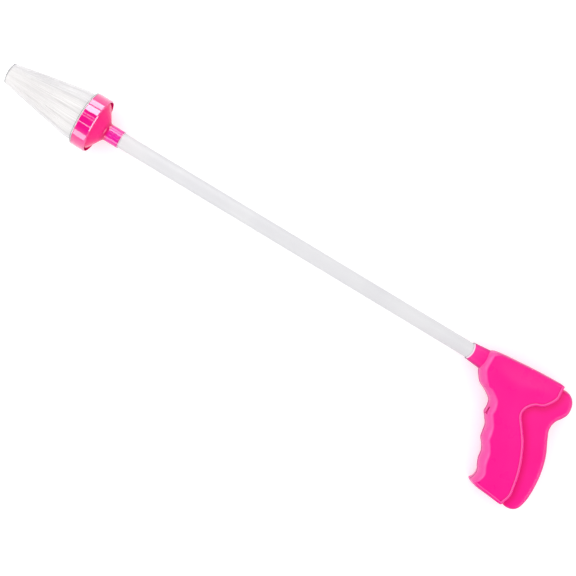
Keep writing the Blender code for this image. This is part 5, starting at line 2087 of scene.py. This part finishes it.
    def add_strand(
        self,
        shape: Shape,
        chance: random.Random,
        out: float,
        base: Pair,
        tip: Pair,
    ) -> None:
        """Add one strand to a tuft.

        Args:
            shape: the tuft.
            chance: the source of its small differences.
            out: how far out it stands, from 0 in the inner row to 1 in the outer one.
            base: its base's distance from the axis, and its turn.
            tip: the same at its tip.
        """
        length = self.reach - chance.uniform(0, self.shortest) - SIZES.tip_dome * out * out
        phase = chance.uniform(0, math.tau)
        stray = chance.uniform(-1, 1) * self.wander
        sideways = chance.uniform(-1, 1) * self.wander
        rings = []
        for share in self.stations:
            lean = share**self.bow
            swell = eased((length * share - self.bulge_from) / (self.bulge_full - self.bulge_from))
            distance = base[0] + (tip[0] - base[0]) * lean
            distance += self.bulge * out * swell * (1 - share) ** self.bulge_fade
            turn = base[1] + (tip[1] - base[1]) * lean
            wave = math.sin(phase + share * self.waves) * share
            distance += stray * wave
            centre = Vector((
                length * share,
                distance * math.cos(turn) - SIZES.hinge_place,
                distance * math.sin(turn) + sideways * wave,
            ))
            radius = self.base_radius + (self.tip_radius - self.base_radius) * share
            ring = []
            for side in range(self.strand_sides):
                angle = phase + math.tau * side / self.strand_sides
                ring.append(centre + Vector((0, math.cos(angle), math.sin(angle))) * radius)
            rings.append(ring)
        add_skin(shape, rings)


@dataclass(frozen=True)
class Softbox:
    """One plain soft lamp."""

    name: str
    at: Point  # where it hangs, in the tool's frame
    towards: Point  # the point that it faces
    size: Pair
    brightness: float  # how bright its face is; 1 is plain white
    along_tool: bool = False  # whether its width runs along the tool; else its height runs up
    card: bool = True  # whether it is a reflector card, which lights nothing
    shown: bool = True  # whether it shows in gloss

    def build(self) -> None:
        """Hang the lamp."""
        lamp = bpy.data.lights.new(self.name, "AREA")
        lamp.shape = "RECTANGLE"
        lamp.size, lamp.size_y = self.size
        lamp.energy = self.brightness * math.pi * self.size[0] * self.size[1]
        hung = placed(self.name, lamp)
        at = TOOL @ Vector(self.at)
        hung.location = at
        looking = (TOOL @ Vector(self.towards) - at).normalized()
        hung.rotation_mode = "QUATERNION"
        hung.rotation_quaternion = looking.to_track_quat("-Z", "Y")
        if self.along_tool:
            forwards = TOOL.to_3x3() @ Vector((1, 0, 0))
            width = (forwards - looking * forwards.dot(looking)).normalized()
            turned = Matrix((width, width.cross(looking), -looking)).transposed()
            hung.rotation_quaternion = turned.to_quaternion()
        hung.visible_diffuse = not self.card
        hung.visible_glossy = self.shown


HEAD: Point = (0.435, 0, 0.028)
"""The top of the ring, which most lamps face."""


@dataclass
class Studio:
    """The floor, the soft light and the camera."""

    # Where the camera hangs over the tool, from the tool's origin
    camera_at: Pair = (0.18676, 0.03993)
    camera_height: float = 1.112  # its height above the floor
    camera_roll: float = 211.05  # how far it is turned about the vertical, in degrees
    focal_pixels: float = 1102.0  # its focal length in pixels of the photograph
    picture_width: float = 576.0  # the photograph's width in pixels
    floor_size: float = 12.0
    floor_colour: Colour = (0.86, 0.86, 0.865)
    floor_glow: float = 0.36  # how much the floor is lifted for the camera and for reflections
    dome: float = 1.0  # the brightness of the light from all round
    ceiling: float = 0.04  # how bright the dome's top is in reflections
    # How high in the dome it begins to dim, and is dim
    ceiling_band: Pair = (0.35, 0.75)
    lamps: tuple[Softbox, ...] = (
        Softbox("Far strip", (0.67, -0.78, 0.84), HEAD, (0.55, 0.50), 9.0, along_tool=True),
        Softbox("Far low box", (0.715, -1.32, 0.39), HEAD, (1.2, 0.6), 6.0),
        Softbox("Loop strip", (0.64, -0.27, 0.95), HEAD, (0.35, 0.03), 6.0, along_tool=True),
        Softbox("Thin strip", (0.64, -0.10, 0.99), HEAD, (0.35, 0.03), 6.0, along_tool=True),
        Softbox("Near strip", (0.665, 0.437, 1.06), HEAD, (0.35, 0.06), 6.0, along_tool=True),
        Softbox("Near low box", (0.715, 1.32, 0.42), HEAD, (1.2, 0.6), 4.2),
        Softbox("Finger box", (1.05, 0.06, 0.62), (-0.045, 0.05, 0), (1.2, 0.6), 8.0),
        Softbox("Rear box", (-1.2, 0.03, 0.60), (0.0, 0.03, 0.016), (1.4, 1.0), 6.0),
        Softbox(
            "Top sheen", (-0.34, -0.26, 1.0), (-0.08, 0.0, 0.016), (0.4, 0.3), 5.0, along_tool=True
        ),
        Softbox(
            "Head fill", (0.45, 0.0, 0.55), (0.45, 0, 0), (0.5, 0.5), 0.4, card=False, shown=False
        ),
    )

    def build(self) -> None:
        """Set up the studio."""
        bpy.context.scene.view_settings.view_transform = "Standard"
        self.add_floor()
        self.add_dome()
        for lamp in self.lamps:
            lamp.build()
        self.add_camera()
        log.info("studio: floor, dome, %d lamps and the camera", len(self.lamps))

    def add_floor(self) -> None:
        """The plain white floor, which keeps the tool's shadow."""
        half = self.floor_size / 2
        shape = bmesh.new()
        bmesh.ops.create_grid(shape, x_segments=1, y_segments=1, size=half)
        floor = placed("Floor", gathered([shape]))
        made = bpy.data.materials.new("White floor")
        made.use_nodes = True
        tree = Tree(made.node_tree)
        # 1 for rays that show the floor itself: to the camera, in a gloss or through glass
        path = tree.add("LightPath").outputs
        shown = tree.maths("MAXIMUM", path["Is Camera Ray"], path["Is Glossy Ray"])
        seen = tree.maths("MAXIMUM", shown, path["Is Transmission Ray"])
        tree.feed(made.node_tree.nodes["Principled BSDF"], {
            "Base Color": (*self.floor_colour, 1.0),
            "Roughness": 0.9,
            "Specular IOR Level": 0.0,
            "Emission Color": (1.0, 1.0, 1.0, 1.0),
            "Emission Strength": tree.product(seen, self.floor_glow),
        })
        floor.data.materials.append(made)

    def add_dome(self) -> None:
        """Even light from all round, with a white horizon and a dim ceiling in reflections."""
        world = bpy.data.worlds.new("Studio")
        world.use_nodes = True
        bpy.context.scene.world = world
        tree = Tree(world.node_tree)
        height = tree.split(tree.add("TexCoord").outputs["Generated"])["Z"]
        in_gloss = tree.ranged(height, *self.ceiling_band, 1.0, self.ceiling)
        path = tree.add("LightPath").outputs
        open_view = tree.maths("MAXIMUM", path["Is Camera Ray"], path["Is Transmission Ray"])
        plain = tree.add("Mix", {0: path["Is Glossy Ray"], 2: self.dome, 3: in_gloss}).outputs[0]
        strength = tree.add("Mix", {0: open_view, 2: plain, 3: 1.0}).outputs[0]
        background = world.node_tree.nodes["Background"]
        tree.feed(background, {"Color": (1.0, 1.0, 1.0, 1.0), "Strength": strength})

    def add_camera(self) -> None:
        """The camera, straight above the tool as in the photograph."""
        lens = bpy.data.cameras.new("Camera")
        lens.lens = lens.sensor_width * self.focal_pixels / self.picture_width
        camera = placed("Camera", lens)
        x, y, _ = TOOL.translation
        camera.location = (x + self.camera_at[0], y + self.camera_at[1], self.camera_height)
        camera.rotation_euler = (0, 0, math.radians(self.camera_roll))
        bpy.context.scene.camera = camera


def main() -> None:
    """Build the studio and every piece of the spider catcher."""
    logging.basicConfig(level=logging.INFO, format="%(message)s")
    Studio().build()
    bench = Bench()
    plunger = Plunger(bench)
    for part in (
        GripShells(bench),
        SqueezeLever(bench),
        ReachTube(bench),
        plunger,
        ReturnSpring(bench, plunger),
        Fasteners(bench),
        BristleHead(bench),
        BristleTufts(bench),
    ):
        part.build()
        log.info("%s done", type(part).__name__)


if __name__ == "__main__":
    main()
